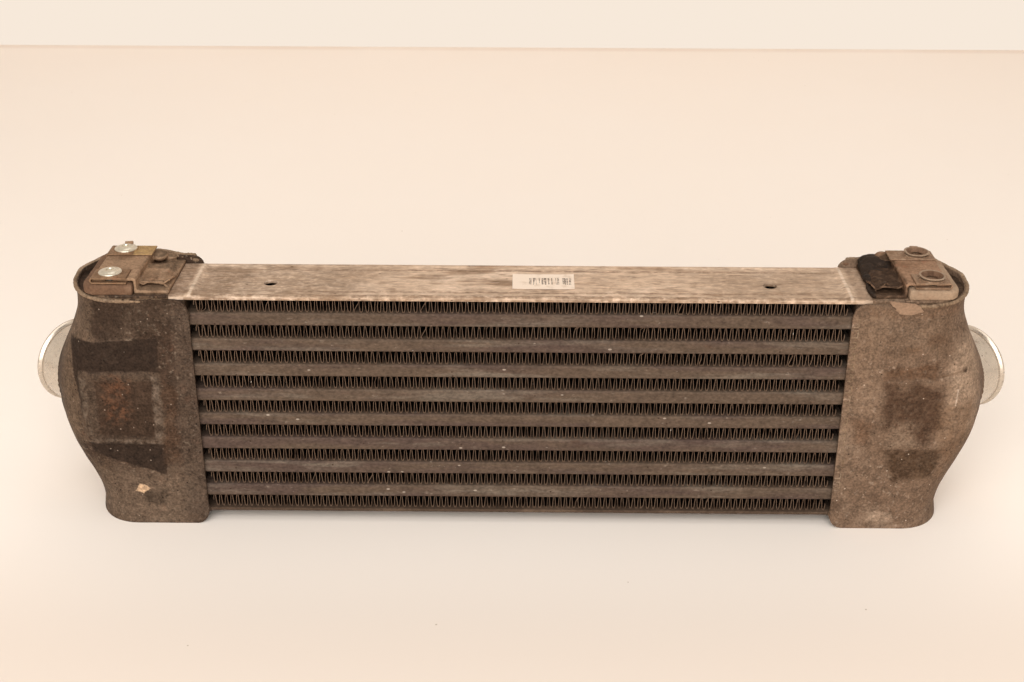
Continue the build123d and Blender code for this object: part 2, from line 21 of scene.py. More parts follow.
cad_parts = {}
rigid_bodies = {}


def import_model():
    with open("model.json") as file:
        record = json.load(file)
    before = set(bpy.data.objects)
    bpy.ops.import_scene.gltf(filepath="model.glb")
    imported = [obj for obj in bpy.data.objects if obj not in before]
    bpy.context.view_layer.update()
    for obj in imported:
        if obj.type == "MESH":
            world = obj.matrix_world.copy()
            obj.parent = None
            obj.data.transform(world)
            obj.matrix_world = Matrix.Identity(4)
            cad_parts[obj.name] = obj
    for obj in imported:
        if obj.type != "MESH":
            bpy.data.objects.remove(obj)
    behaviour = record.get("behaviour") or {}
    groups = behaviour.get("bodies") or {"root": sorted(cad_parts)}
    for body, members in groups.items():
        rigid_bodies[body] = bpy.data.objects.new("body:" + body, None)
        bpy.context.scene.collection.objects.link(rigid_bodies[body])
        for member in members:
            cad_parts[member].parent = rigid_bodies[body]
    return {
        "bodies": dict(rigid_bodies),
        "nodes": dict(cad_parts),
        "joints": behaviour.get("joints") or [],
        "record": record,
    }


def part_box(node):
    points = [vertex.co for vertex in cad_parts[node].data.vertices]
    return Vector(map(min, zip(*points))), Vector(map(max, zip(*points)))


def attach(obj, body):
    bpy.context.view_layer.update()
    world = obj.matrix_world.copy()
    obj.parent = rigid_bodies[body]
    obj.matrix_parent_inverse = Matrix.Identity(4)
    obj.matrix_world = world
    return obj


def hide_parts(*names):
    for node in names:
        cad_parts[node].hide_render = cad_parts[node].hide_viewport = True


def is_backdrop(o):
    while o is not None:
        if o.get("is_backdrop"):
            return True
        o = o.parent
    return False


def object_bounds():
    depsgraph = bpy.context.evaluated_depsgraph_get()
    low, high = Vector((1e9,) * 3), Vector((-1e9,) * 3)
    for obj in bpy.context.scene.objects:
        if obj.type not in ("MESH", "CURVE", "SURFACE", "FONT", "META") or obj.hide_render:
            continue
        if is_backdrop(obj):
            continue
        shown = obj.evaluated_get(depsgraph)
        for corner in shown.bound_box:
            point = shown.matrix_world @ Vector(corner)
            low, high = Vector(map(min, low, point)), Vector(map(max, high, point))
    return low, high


LOG = logging.getLogger("cooler")
MM = 0.001
BODY = "root"
SHARP_ANGLE = math.radians(38)
PLATE_SHEET = 3.0 * MM
FRAME: dict = {}

Piece = bpy.types.Object
Socket = bpy.types.NodeSocket
Colour = tuple[float, float, float]
Point2 = tuple[float, float]
Triple = tuple[float, float, float]


class Side(Enum):
    """End of the core that a piece belongs to, with its sign along X."""

    RIGHT = 1
    LEFT = -1

    @property
    def word(self) -> str:
        """The side's word in the names of nodes and pieces."""
        return self.name.lower()


class Face(Enum):
    """Plane that a stain is laid out on: the two axes of its corners."""

    FRONT = (0, 2)
    TOP = (0, 1)


# ---- node wiring
class Wiring:
    """Nodes of a shader or geometry tree, added and linked by short calls."""

    def __init__(self, tree: bpy.types.NodeTree) -> None:
        """Keep the tree to add to."""
        self.tree = tree

    def feed(self, socket: Socket, value: object) -> None:
        """Link or set one input.

        Args:
            socket: Input socket.
            value: Output socket, node whose first output to link, or a plain value.
        """
        if isinstance(value, bpy.types.Node):
            value = value.outputs[0]
        if isinstance(value, Socket):
            self.tree.links.new(value, socket)
        elif socket.type == "RGBA" and len(value) == 3:
            socket.default_value = (*value, 1.0)
        else:
            socket.default_value = value

    def add(self, kind: str, settings: dict | None = None, **inputs: object) -> bpy.types.Node:
        """Add one node.

        Args:
            kind: Node type's identifier.
            settings: Node properties to set.
            **inputs: Input names, spaces written as underscores, with their values.

        Returns:
            The new node.
        """
        node = self.tree.nodes.new(kind)
        for key, value in (settings or {}).items():
            setattr(node, key, value)
        for key, value in inputs.items():
            self.feed(node.inputs[key.replace("_", " ")], value)
        return node

    def math(self, operation: str, *values: object) -> Socket:
        """Scalar sum, product or function of sockets and numbers.

        Args:
            operation: Name of the math operation.
            *values: One to three sockets or numbers.

        Returns:
            The result's socket.
        """
        node = self.add("ShaderNodeMath", {"operation": operation})
        for socket, value in zip(node.inputs, values):
            self.feed(socket, value)
        return node.outputs[0]

    def times(self, first: object, second: object) -> Socket:
        """Product of two sockets or numbers."""
        return self.math("MULTIPLY", first, second)

    def smooth(self, value: object, low: float, high: float) -> Socket:
        """Smooth step from 0 at low to 1 at high.

        Args:
            value: Socket to read.
            low: Value where the step starts.
            high: Value where it ends.

        Returns:
            The step's socket.
        """
        settings = {"interpolation_type": "SMOOTHSTEP"}
        node = self.add("ShaderNodeMapRange", settings, Value=value, From_Min=low, From_Max=high)
        return node.outputs["Result"]

    def vector(self, operation: str, *values: object, output: str = "Vector"
               ) -> Socket:
        """Sum or product of vectors.

        Args:
            operation: Name of the vector operation.
            *values: One to three sockets or triples.
            output: Which of the node's outputs to hand back.

        Returns:
            The result's socket.
        """
        node = self.add("ShaderNodeVectorMath", {"operation": operation})
        for socket, value in zip(node.inputs, values):
            self.feed(socket, value)
        return node.outputs[output]

    def close(self, geometry: Socket, **material: object) -> None:
        """Realize a geometry, set its material and send it out of the tree.

        Args:
            geometry: Geometry to send out.
            **material: The material's socket, where the tree is given one.
        """
        real = self.add("GeometryNodeRealizeInstances", Geometry=geometry)
        finished = self.add("GeometryNodeSetMaterial", Geometry=real, **material)
        self.feed(self.add("NodeGroupOutput").inputs[0], finished.outputs[0])


def new_tree(name: str, inputs: dict[str, str], output: str) -> Wiring:
    """Start a geometry tree with its outer sockets.

    Args:
        name: Tree's name.
        inputs: Input names with their kinds.
        output: Name of the geometry that it gives.

    Returns:
        The empty tree, ready for nodes.
    """
    tree = bpy.data.node_groups.new(name, "GeometryNodeTree")
    for label, kind in inputs.items():
        tree.interface.new_socket(label, in_out="INPUT", socket_type=f"NodeSocket{kind}")
    tree.interface.new_socket(output, in_out="OUTPUT", socket_type="NodeSocketGeometry")
    return Wiring(tree)


class Paint(Wiring):
    """Shader nodes of one material."""

    def __init__(self, name: str) -> None:
        """Start a material with its shader and Object coordinates.

        Args:
            name: Material's name.
        """
        self.material = bpy.data.materials.new(name)
        self.material.use_nodes = True
        super().__init__(self.material.node_tree)
        self.shader = self.tree.nodes["Principled BSDF"]
        self.place = self.add("ShaderNodeTexCoord").outputs["Object"]

    def axis(self, index: int) -> Socket:
        """Object coordinate along one axis."""
        return self.add("ShaderNodeSeparateXYZ", Vector=self.place).outputs[index]

    def noise(self, scale: float, stretch: Triple = (1, 1, 1), seed: float = 0.0,
              detail: float = 4.0) -> Socket:
        """Noise between about 0 and 1.

        Args:
            scale: Lumps a metre.
            stretch: Scale along each axis; under 1 draws the lumps out.
            seed: Shift that gives another pattern.
            detail: Octaves.

        Returns:
            The noise's socket.
        """
        place = self.add("ShaderNodeMapping", Vector=self.place, Scale=stretch,
                         Location=(seed, seed * 0.7, -seed * 1.3))
        node = self.add("ShaderNodeTexNoise", Vector=place, Scale=scale, Detail=detail, Roughness=0.6)
        return node.outputs["Fac"]

    def mix(self, share: object, first: object, second: object) -> Socket:
        """Colour between two others.

        Args:
            share: Share of the second colour.
            first: Colour or socket.
            second: Colour or socket.

        Returns:
            The mixed colour's socket.
        """
        node = self.add("ShaderNodeMix", {"data_type": "RGBA"})
        self.feed(node.inputs[0], share)
        self.feed(node.inputs[6], first)
        self.feed(node.inputs[7], second)
        return node.outputs[2]

    def coat(self, colour: object, roughness: object, metallic: float = 0.0,
             specular: float = 0.5) -> bpy.types.Material:
        """Feed the shader.

        Args:
            colour: Base colour or its socket.
            roughness: Roughness or its socket.
            metallic: Share of bare metal.
            specular: Strength of the gloss, as a plain number.

        Returns:
            The material.
        """
        inputs = self.shader.inputs
        self.feed(inputs["Base Color"], colour)
        self.feed(inputs["Metallic"], metallic)
        self.feed(inputs["Specular IOR Level"], specular)
        self.feed(inputs["Roughness"], roughness)
        return self.material


# ---- finishes
@dataclass(frozen=True)
class Grime:
    """A tint that noise spreads over a surface."""

    colour: Colour
    scale: float
    low: float
    high: float
    strength: float = 1.0
    stretch: Triple = (1.0, 1.0, 1.0)
    seed: float = 0.0
    detail: float = 4.0

    def lay(self, paint: Paint, colour: object) -> Socket:
        """Lay the tint over a colour.

        Args:
            paint: Material's nodes.
            colour: Colour beneath.

        Returns:
            The tinted colour's socket.
        """
        source = paint.noise(self.scale, self.stretch, self.seed, self.detail)
        share = paint.times(paint.smooth(source, self.low, self.high), self.strength)
        return paint.mix(share, colour, self.colour)


@dataclass(frozen=True)
class Specks:
    """Small round flecks, each in its own cell of a cell pattern."""

    colour: Colour
    scale: float
    radius: float
    rarity: float
    stretch: Triple = (1.0, 1.0, 1.0)
    seed: float = 0.0

    def lay(self, paint: Paint, colour: object) -> Socket:
        """Lay the flecks over a colour.

        Args:
            paint: Material's nodes.
            colour: Colour beneath.

        Returns:
            The flecked colour's socket.
        """
        place = paint.add("ShaderNodeMapping", Vector=paint.place, Scale=self.stretch,
                          Location=(self.seed, self.seed, self.seed))
        cells = paint.add("ShaderNodeTexVoronoi", Vector=place, Scale=self.scale)
        near = paint.smooth(cells.outputs["Distance"], self.radius, self.radius * 0.5)
        pick = paint.add("ShaderNodeSeparateColor", Color=cells.outputs["Color"]).outputs[0]
        chosen = paint.math("GREATER_THAN", pick, self.rarity)
        return paint.mix(paint.times(near, chosen), colour, self.colour)


@dataclass(frozen=True)
class Patch:
    """A stain, bare spot, patch of painted shade or painted highlight inside a convex outline, its
    corners anticlockwise, in mm.
    """

    colour: Colour
    corners: tuple[Point2, ...]
    soft: float = 2.0
    strength: float = 1.0
    wobble: float = 3.0
    grain: float = 90.0
    broken: float = 0.0
    uneven: float = 0.45
    face: Face = Face.FRONT
    lump_edge: float = 0.12
    thin_cover: float = 0.36
    full_cover: float = 0.58

    def share(self, paint: Paint) -> Socket:
        """How much of the patch lies at each place, from 0 to 1.

        Args:
            paint: Material's nodes.

        Returns:
            The share's socket.
        """
        drift = paint.add("ShaderNodeTexNoise", Vector=paint.place, Scale=self.grain, Detail=3.0)
        centred = paint.vector("SUBTRACT", drift.outputs["Color"], (0.5, 0.5, 0.5))
        moved = paint.vector("MULTIPLY_ADD", centred, (self.wobble * MM * 2,) * 3, paint.place)
        across, up = self.face.value
        corners = [(x * MM, z * MM) for x, z in self.corners]
        nearest = None
        for start, end in zip(corners, corners[1:] + corners[:1]):
            run = (end[0] - start[0], end[1] - start[1])
            length = math.hypot(*run)
            inward = [0.0, 0.0, 0.0]
            inward[across] = -run[1] / length
            inward[up] = run[0] / length
            offset = inward[across] * start[0] + inward[up] * start[1]
            along = paint.vector("DOT_PRODUCT", moved, inward, output="Value")
            distance = paint.math("SUBTRACT", along, offset)
            nearest = distance if nearest is None else paint.math("MINIMUM", nearest, distance)
        share = paint.smooth(nearest, -self.soft * MM / 2, self.soft * MM / 2)
        if self.broken > 0:
            lumps = paint.smooth(paint.noise(self.grain * 2.5, seed=3.0),
                                 self.broken - self.lump_edge, self.broken + self.lump_edge)
            share = paint.times(share, lumps)
        lumps = paint.smooth(paint.noise(self.grain * 3.1, seed=8.0, detail=5.0),
                             self.thin_cover, self.full_cover)
        cover = paint.math("MULTIPLY_ADD", lumps, self.uneven, 1.0 - self.uneven)
        share = paint.times(share, cover)
        return paint.times(share, self.strength)

    def lay(self, paint: Paint, colour: object, faces_out: object) -> Socket:
        """Lay the patch over a colour, as far as the surface faces the right way."""
        share = paint.times(self.share(paint), faces_out)
        return paint.mix(share, colour, self.colour)


@dataclass(frozen=True)
class Relief:
    """Fine bumps of one size, their depth in millimetres."""

    scale: float
    depth: float
    stretch: Triple = (1.0, 1.0, 1.0)
    detail: float = 3.0


@dataclass(frozen=True)
class Finish:
    """Weathered surface: a base tint under grime, stains, a few patches of painted shade and highlight,
    and flecks, with fine relief.
    """

    name: str
    slot: str
    base: Colour
    metallic: float
    roughness: float
    rough_swing: float = 0.12
    grime: tuple[Grime, ...] = ()
    patches: tuple[Patch, ...] = ()
    specks: tuple[Specks, ...] = ()
    relief: tuple[Relief, ...] = ()
    grain: float = 0.3
    grain_scale: float = 620.0
    grain_stretch: Triple = (1.0, 1.0, 1.0)
    specular: float = 0.07
    patch_depth: tuple[float, float] = (-0.018, 0.0)

    def material(self) -> bpy.types.Material:
        """Build the finish's material once and hand it out again later.

        Returns:
            The material.
        """
        found = bpy.data.materials.get(self.name)
        if found:
            return found
        paint = Paint(self.name)
        colour: object = self.base
        for layer in self.grime:
            colour = layer.lay(paint, colour)
        if self.patches:
            colour = self._patched(paint, colour)
        colour = self._grained(paint, colour)
        for fleck in self.specks:
            colour = fleck.lay(paint, colour)
        swing = paint.noise(160.0, seed=5.0)
        rough = paint.math("MULTIPLY_ADD", swing, self.rough_swing * 2,
                           self.roughness - self.rough_swing)
        self._raise(paint)
        return paint.coat(colour, rough, self.metallic, self.specular)

    def _grained(self, paint: Paint, colour: object) -> Socket:
        """Lighten and darken a colour in small grains and in blotches a few times as large.

        Args:
            paint: Material's nodes.
            colour: Colour beneath.

        Returns:
            The grained colour's socket.
        """
        fine = paint.noise(self.grain_scale, self.grain_stretch, seed=9.0, detail=2.0)
        coarse = paint.noise(self.grain_scale * 0.28, self.grain_stretch, seed=11.0, detail=3.0)
        both = paint.math("ADD", paint.times(fine, 1.6), coarse)
        level = paint.math("MULTIPLY_ADD", both, 2.0 * self.grain, 1.0 - 2.6 * self.grain)
        node = paint.add("ShaderNodeVectorMath", {"operation": "SCALE"})
        paint.feed(node.inputs[0], colour)
        paint.feed(node.inputs["Scale"], paint.math("MAXIMUM", level, 0.1))
        return node.outputs[0]

    def _patched(self, paint: Paint, colour: object) -> object:
        """Lay the patches, each only on the face it belongs to.

        Args:
            paint: Material's nodes.
            colour: Colour beneath.

        Returns:
            The patched colour's socket.
        """
        front = paint.smooth(paint.axis(1), self.patch_depth[1], self.patch_depth[0])
        normal = paint.add("ShaderNodeNewGeometry").outputs["Normal"]
        up = paint.smooth(paint.add("ShaderNodeSeparateXYZ", Vector=normal).outputs[2], 0.3, 0.7)
        for patch in self.patches:
            gate = front if patch.face is Face.FRONT else up
            colour = patch.lay(paint, colour, gate)
        return colour

    def _raise(self, paint: Paint) -> None:
        """Chain the relief's bump nodes into the shader's normal.

        Args:
            paint: Material's nodes.
        """
        normal: object = None
        for relief in self.relief:
            height = paint.noise(relief.scale, relief.stretch, seed=7.0, detail=relief.detail)
            bump = paint.add("ShaderNodeBump", Height=height, Distance=relief.depth * MM,
                             Strength=1.0)
            if normal is not None:
                paint.feed(bump.inputs["Normal"], normal)
            normal = bump.outputs[0]
        if normal is not None:
            paint.feed(paint.shader.inputs["Normal"], normal)


def rectangle(x_low: float, x_high: float, z_low: float, z_high: float) -> tuple[Point2, ...]:
    """Corners of a rectangle, anticlockwise from the lowest."""
    return ((x_low, z_low), (x_high, z_low), (x_high, z_high), (x_low, z_high))


TANK_LEFT = Finish(
    "tank_grimy", "tank_aluminium", (0.052, 0.031, 0.02), 0.05, 0.66, grain=0.6,
    grime=(
        Grime((0.112, 0.076, 0.052), 22, 0.47, 0.7, 0.75),
        Grime((0.042, 0.024, 0.014), 44, 0.54, 0.76, 0.75, seed=2),
        Grime((0.21, 0.155, 0.11), 330, 0.56, 0.7, 0.6, seed=1),
        Grime((0.13, 0.06, 0.035), 70, 0.6, 0.78, 0.5, seed=6),
    ),
    patches=(
        Patch((0.16, 0.105, 0.068), ((-318, 146), (-298, 146), (-296, 180), (-314, 180)), 7, 0.7, 4),
        Patch((0.03, 0.018, 0.012), ((-300, 150), (-279, 151), (-272, 176), (-297, 176)), 7, 0.7, 5),
        Patch((0.038, 0.023, 0.014), rectangle(-306, -240, 154, 184), 14, 0.5, 9),
        Patch((0.15, 0.1, 0.066), rectangle(-312, -238, -5, 48), 24, 0.7, 9),
        Patch((0.15, 0.098, 0.062), ((-332, 70), (-314, 70), (-314, 150), (-326, 150)), 12, 0.7, 5),
        Patch((0.092, 0.062, 0.043), ((-247, 8), (-229, 8), (-227, 172), (-240, 172)), 7, 0.55, 5),
        Patch((0.027, 0.0165, 0.011), ((-309, 60), (-256, 41), (-253, 152), (-318, 146)),
              1.4, 0.95, 1.8, uneven=0.12),
        Patch((0.085, 0.055, 0.036), rectangle(-312, -253, 68, 125),
              2.2, 0.85, 3, broken=0.34, uneven=0.3),
        Patch((0.046, 0.026, 0.016), ((-302, 75), (-261, 73), (-260, 117), (-301, 119)),
              3, 0.9, 3, uneven=0.25),
        Patch((0.036, 0.021, 0.013), ((-300, 70), (-262, 71), (-262, 99), (-299, 99)), 5, 0.75, 4),
        Patch((0.125, 0.055, 0.028), ((-297, 86), (-280, 86), (-277, 120), (-292, 120)),
              12, 0.8, 7, broken=0.5),
        Patch((0.16, 0.115, 0.083), rectangle(-261, -254.5, 72, 122), 2, 0.65, 3, broken=0.48),
        Patch((0.15, 0.108, 0.078), rectangle(-311, -256, 67, 71), 1.4, 0.65, 2.5, broken=0.48),
        Patch((0.13, 0.095, 0.068), rectangle(-312, -307, 72, 120), 1.8, 0.55, 2.5, broken=0.48),
        Patch((0.07, 0.038, 0.022), ((-257, 50), (-248, 52), (-243, 108), (-251, 119)), 5, 0.75, 5),
        Patch((0.03, 0.019, 0.012), ((-274, 19), (-260, 16), (-258, 27), (-277, 26)), 6, 0.75, 4),
        Patch((0.54, 0.35, 0.21), ((-282, 28), (-276, 24.6), (-270.5, 28.5), (-273, 32), (-278, 33)),
              1, 0.95, 3.6),
    ),
    specks=(
        Specks((0.26, 0.19, 0.14), 210, 0.14, 0.84),
        Specks((0.46, 0.37, 0.29), 120, 0.07, 0.965),
        Specks((0.018, 0.011, 0.008), 260, 0.2, 0.84, seed=1),
    ),
    relief=(Relief(60, 0.6), Relief(420, 0.3)),
)

TANK_RIGHT = Finish(
    "tank_dusty", "tank_aluminium", (0.15, 0.093, 0.059), 0.05, 0.64, grain=0.52,
    grime=(
        Grime((0.225, 0.15, 0.1), 20, 0.46, 0.68, 0.8),
        Grime((0.08, 0.047, 0.029), 36, 0.54, 0.72, 0.75, seed=2),
        Grime((0.34, 0.245, 0.175), 300, 0.57, 0.72, 0.5, seed=1),
        Grime((0.12, 0.066, 0.037), 300, 0.58, 0.76, 0.4, seed=4),
    ),
    patches=(
        Patch((0.33, 0.225, 0.15), ((302, 75), (330, 80), (325, 150), (304, 150)), 16, 0.85, 8),
        Patch((0.105, 0.064, 0.038), rectangle(236, 300, 142, 184), 16, 0.5, 9),
        Patch((0.235, 0.15, 0.095), rectangle(231, 252, 95, 172), 9, 0.35, 5),
        Patch((0.1, 0.052, 0.028), ((256, 123), (292, 125), (291, 137), (256, 131)), 5, 0.85, 5),
        Patch((0.058, 0.03, 0.017), ((258, 86), (293, 71), (303, 88), (294, 119), (256, 120)),
              9, 0.9, 10, uneven=0.3),
        Patch((0.205, 0.135, 0.088), ((265, 70), (284, 69), (283, 88), (266, 91)),
              8, 0.8, 6, broken=0.4),
        Patch((0.055, 0.03, 0.016), ((270, 41), (298, 44), (306, 67), (262, 66)),
              6, 0.92, 6, uneven=0.3),
        Patch((0.15, 0.085, 0.048), ((306, 44), (324, 70), (325, 106), (297, 103)), 14, 0.75, 8),
        Patch((0.12, 0.064, 0.036), ((239, 72), (250, 70), (253, 87), (237, 91)), 8, 0.8, 6),
        Patch((0.085, 0.046, 0.026), ((255, 122), (292, 124.5), (292, 127), (255, 125)), 2, 0.7, 2.5),
        Patch((0.11, 0.062, 0.036), rectangle(282, 295, 150, 158), 5, 0.75, 4),
        Patch((0.14, 0.08, 0.046), rectangle(268, 278, 145, 149), 3, 0.7, 3),
        Patch((0.16, 0.09, 0.052), rectangle(240, 305, 171, 179), 5, 0.5, 5, broken=0.46),
        Patch((0.1, 0.055, 0.03), ((272, 122.6), (313, 128.2), (313, 129.6), (272, 124)),
              1, 0.5, 1.2, broken=0.42),
        Patch((0.045, 0.024, 0.014), rectangle(311.5, 315, 127.5, 130.5), 2, 0.9, 1),
        Patch((0.55, 0.42, 0.32), rectangle(308.4, 309.4, 103, 116), 0.8, 0.6, 0.8),
        Patch((0.36, 0.25, 0.17), ((256, 6), (275, 5), (274, 14), (257, 14)), 2, 0.55, 2.5),
    ),
    specks=(
        Specks((0.52, 0.39, 0.29), 210, 0.13, 0.86),
        Specks((0.05, 0.03, 0.018), 240, 0.18, 0.86, seed=1),
    ),
    relief=(Relief(60, 0.6), Relief(420, 0.28)),
)

TUBES = Finish(
    "tube_bar", "tube_aluminium", (0.102, 0.068, 0.046), 0.05, 0.62, grain=0.4,
    grain_stretch=(0.6, 1, 1),
    grime=(
        Grime((0.08, 0.051, 0.04), 14, 0.42, 0.64, 0.85, (0.6, 1, 6)),
        Grime((0.15, 0.114, 0.084), 22, 0.5, 0.7, 0.8, (0.5, 1, 5), 2),
        Grime((0.07, 0.036, 0.022), 45, 0.63, 0.78, 0.8, (0.8, 1, 1.6), 4),
        Grime((0.3, 0.235, 0.18), 420, 0.62, 0.78, 0.5, (0.5, 1, 1), 1),
    ),
    specks=(
        Specks((0.34, 0.27, 0.21), 190, 0.16, 0.86, (0.5, 1, 1)),
        Specks((0.55, 0.46, 0.38), 90, 0.06, 0.955, (0.6, 1, 1)),
        Specks((0.05, 0.03, 0.02), 170, 0.15, 0.86, seed=2),
    ),
    relief=(Relief(90, 0.3), Relief(600, 0.18)),
)

PLATE = Finish(
    "side_plate", "plate_aluminium", (0.54, 0.38, 0.262), 0.05, 0.58, grain=0.34,
    grain_scale=480, grain_stretch=(0.35, 1, 1),
    grime=(
        Grime((0.69, 0.51, 0.372), 22, 0.44, 0.64, 0.85, (0.35, 1, 1)),
        Grime((0.26, 0.16, 0.095), 60, 0.53, 0.66, 0.8, (0.22, 1, 1), 2),
        Grime((0.17, 0.098, 0.055), 230, 0.56, 0.72, 0.75, (0.2, 1, 1), 4),
        Grime((0.68, 0.53, 0.4), 300, 0.6, 0.76, 0.5, (0.3, 1, 1), 6),
    ),
    patches=(
        Patch((0.17, 0.1, 0.058), rectangle(-225, 225, -39.8, -37.8),
              2.6, 0.85, 2, broken=0.4, face=Face.TOP),
        Patch((0.17, 0.1, 0.058), rectangle(-225, 225, -1.8, 0.7),
              2.6, 0.8, 2, broken=0.4, face=Face.TOP),
        Patch((0.2, 0.122, 0.075), rectangle(-262, -231, -56, 12),
              4, 0.85, 3, uneven=0.4, face=Face.TOP),
        Patch((0.235, 0.15, 0.096), rectangle(232, 262, -56, 12), 4, 0.8, 3, uneven=0.4, face=Face.TOP),
        Patch((0.26, 0.165, 0.105), ((-227, -46), (-206, -46), (-190, -4), (-227, 6)),
              9, 0.7, 8, broken=0.4, face=Face.TOP),
        Patch((0.27, 0.178, 0.112), ((-227, -46), (-120, -46), (-90, 6), (-227, 6)),
              36, 0.78, 14, uneven=0.42, face=Face.TOP),
        Patch((0.27, 0.178, 0.112), ((227, 6), (120, 6), (140, -46), (227, -46)),
              36, 0.6, 14, uneven=0.42, face=Face.TOP),
        Patch((0.25, 0.155, 0.095), rectangle(-232, 232, 176, 181.9), 1, 0.85, 1.2, broken=0.42),
        Patch((0.23, 0.142, 0.086), rectangle(-231, 231, -50.5, -44.8),
              1.5, 0.8, 1.6, broken=0.44, uneven=0.3, face=Face.TOP),
        Patch((0.16, 0.095, 0.055), rectangle(-220, -174, -14, -13.5), 0.6, 0.8, 0.4, face=Face.TOP),
        Patch((0.19, 0.115, 0.068), rectangle(174, 221, -36.2, -35.6), 0.6, 0.75, 0.4, face=Face.TOP),
        # painted highlight: pale strips on the crowns of the cross beads at both ends, where the raised
        # ribs catch the light
        Patch((0.62, 0.47, 0.34), rectangle(-229.4, -227.2, -49, 9), 1.2, 0.8, 0.8, face=Face.TOP),
        Patch((0.66, 0.5, 0.37), rectangle(227.2, 229.4, -49, 9), 1.2, 0.8, 0.8, face=Face.TOP),
    ),
    specks=(Specks((0.12, 0.07, 0.04), 220, 0.16, 0.84, (0.5, 1, 1)),),
    relief=(Relief(45, 0.5, (0.4, 1, 1)), Relief(500, 0.22, (0.5, 1, 1))),
)

SPIGOT = Finish(
    "turned_spigot", "spigot_aluminium", (0.585, 0.505, 0.415), 0.72, 0.28, 0.1, grain=0.08,
    specular=0.5,
    grime=(
        Grime((0.46, 0.36, 0.27), 60, 0.56, 0.78, 0.6),
        Grime((0.66, 0.6, 0.51), 36, 0.5, 0.74, 0.6, seed=3),
        Grime((0.22, 0.17, 0.125), 150, 0.6, 0.74, 0.6, seed=5),
    ),
    specks=(Specks((0.16, 0.11, 0.08), 220, 0.16, 0.86),),
    relief=(Relief(500, 0.04),),
)

BRACKET = Finish(
    "rusty_bracket", "bracket_steel", (0.3, 0.175, 0.105), 0.08, 0.66, grain=0.34,
    grime=(
        Grime((0.17, 0.09, 0.05), 50, 0.46, 0.7, 0.85),
        Grime((0.38, 0.25, 0.165), 110, 0.54, 0.74, 0.6, seed=2),
        Grime((0.32, 0.125, 0.07), 80, 0.6, 0.76, 0.55, seed=5),
    ),
    patches=(
        Patch((0.042, 0.024, 0.014), ((241, -47), (264, -47), (266, 8), (242, 6)),
              5, 0.92, 4, uneven=0.25, face=Face.TOP),
        Patch((0.036, 0.02, 0.012), rectangle(238, 268, 180, 193), 3, 0.85, 3),
    ),
    patch_depth=(0.012, 0.03),
    relief=(Relief(200, 0.3), Relief(800, 0.16)),
)

BRACKET_LEFT = Finish(
    "rusty_bracket_left", "bracket_steel", (0.3, 0.185, 0.11), 0.08, 0.66, grain=0.34,
    grime=(
        Grime((0.15, 0.085, 0.048), 50, 0.44, 0.68, 0.85),
        Grime((0.36, 0.24, 0.155), 110, 0.54, 0.74, 0.6, seed=2),
        Grime((0.34, 0.135, 0.075), 80, 0.58, 0.76, 0.6, seed=5),
    ),
    patches=(
        # painted shade and dirt: the foot behind the crumpled tongue, darker where the tongue shades it
        # and grime gathers
        Patch((0.085, 0.055, 0.034), ((-265, -16), (-243, -16), (-244, 10), (-262, 12)),
              5, 0.8, 4, face=Face.TOP),
        # painted shade: the foot just in front of and under the tongue's curled front edge
        Patch((0.125, 0.08, 0.05), rectangle(-264, -243, -47, -36), 4, 0.7, 3, face=Face.TOP),
    ),
    relief=(Relief(200, 0.3), Relief(800, 0.16)),
)

SADDLE_LEFT = Finish(
    "saddle_rusty", "bracket_steel", (0.15, 0.082, 0.048), 0.05, 0.7, grain=0.3,
    grime=(
        Grime((0.24, 0.145, 0.09), 60, 0.48, 0.7, 0.8),
        Grime((0.075, 0.038, 0.022), 90, 0.54, 0.74, 0.7, seed=2),
    ),
    relief=(Relief(260, 0.35), Relief(900, 0.16)),
)

SADDLE_RIGHT = Finish(
    "saddle_dusty", "bracket_steel", (0.33, 0.222, 0.143), 0.05, 0.66, grain=0.2,
    grime=(
        Grime((0.26, 0.15, 0.09), 50, 0.5, 0.72, 0.8),
        Grime((0.42, 0.305, 0.21), 130, 0.54, 0.74, 0.6, seed=2),
    ),
    relief=(Relief(200, 0.25), Relief(900, 0.12)),
)

CLIP_LEFT = Finish(
    "clip_passivated", "clip_steel", (0.215, 0.125, 0.07), 0.2, 0.58, grain=0.3,
    grime=(
        Grime((0.17, 0.09, 0.045), 110, 0.48, 0.72, 0.8),
        Grime((0.32, 0.22, 0.14), 200, 0.56, 0.74, 0.6, seed=2),
        Grime((0.3, 0.12, 0.06), 80, 0.58, 0.76, 0.5, seed=6),
    ),
    patches=(
        Patch((0.4, 0.255, 0.105), rectangle(-275.5, -261, -7.2, 10.8), 1, 0.85, 1, face=Face.TOP),
    ),
    relief=(Relief(600, 0.12),),
)

CLIP_RIGHT = Finish(
    "clip_dull", "clip_steel", (0.245, 0.15, 0.092), 0.15, 0.6, grain=0.3,
    grime=(
        Grime((0.17, 0.095, 0.052), 110, 0.48, 0.72, 0.8),
        Grime((0.38, 0.27, 0.18), 200, 0.52, 0.7, 0.6, seed=2),
    ),
    relief=(Relief(600, 0.12),),
)

ZINC = Finish(
    "zinc_screw", "zinc_steel", (0.56, 0.51, 0.41), 0.75, 0.3, 0.1, grain=0.12, specular=0.5,
    grime=(
        Grime((0.34, 0.27, 0.19), 240, 0.54, 0.76, 0.7),
        Grime((0.74, 0.68, 0.57), 160, 0.52, 0.72, 0.5, seed=2),
    ),
    relief=(Relief(700, 0.05),),
)

INSIDE = Finish(
    "inner_sheet", "tube_aluminium", (0.045, 0.028, 0.018), 0.05, 0.7, specular=0.05,
    grime=(Grime((0.02, 0.012, 0.008), 90, 0.45, 0.7, 0.8),),
    relief=(Relief(500, 0.08),),
)

COLLAR = Finish(
    "clip_collar", "clip_steel", (0.3, 0.205, 0.135), 0.2, 0.55, grain=0.3,
    grime=(
        Grime((0.42, 0.31, 0.22), 160, 0.5, 0.7, 0.7),
        Grime((0.13, 0.075, 0.045), 110, 0.54, 0.74, 0.7, seed=2),
    ),
    relief=(Relief(600, 0.15),),
)

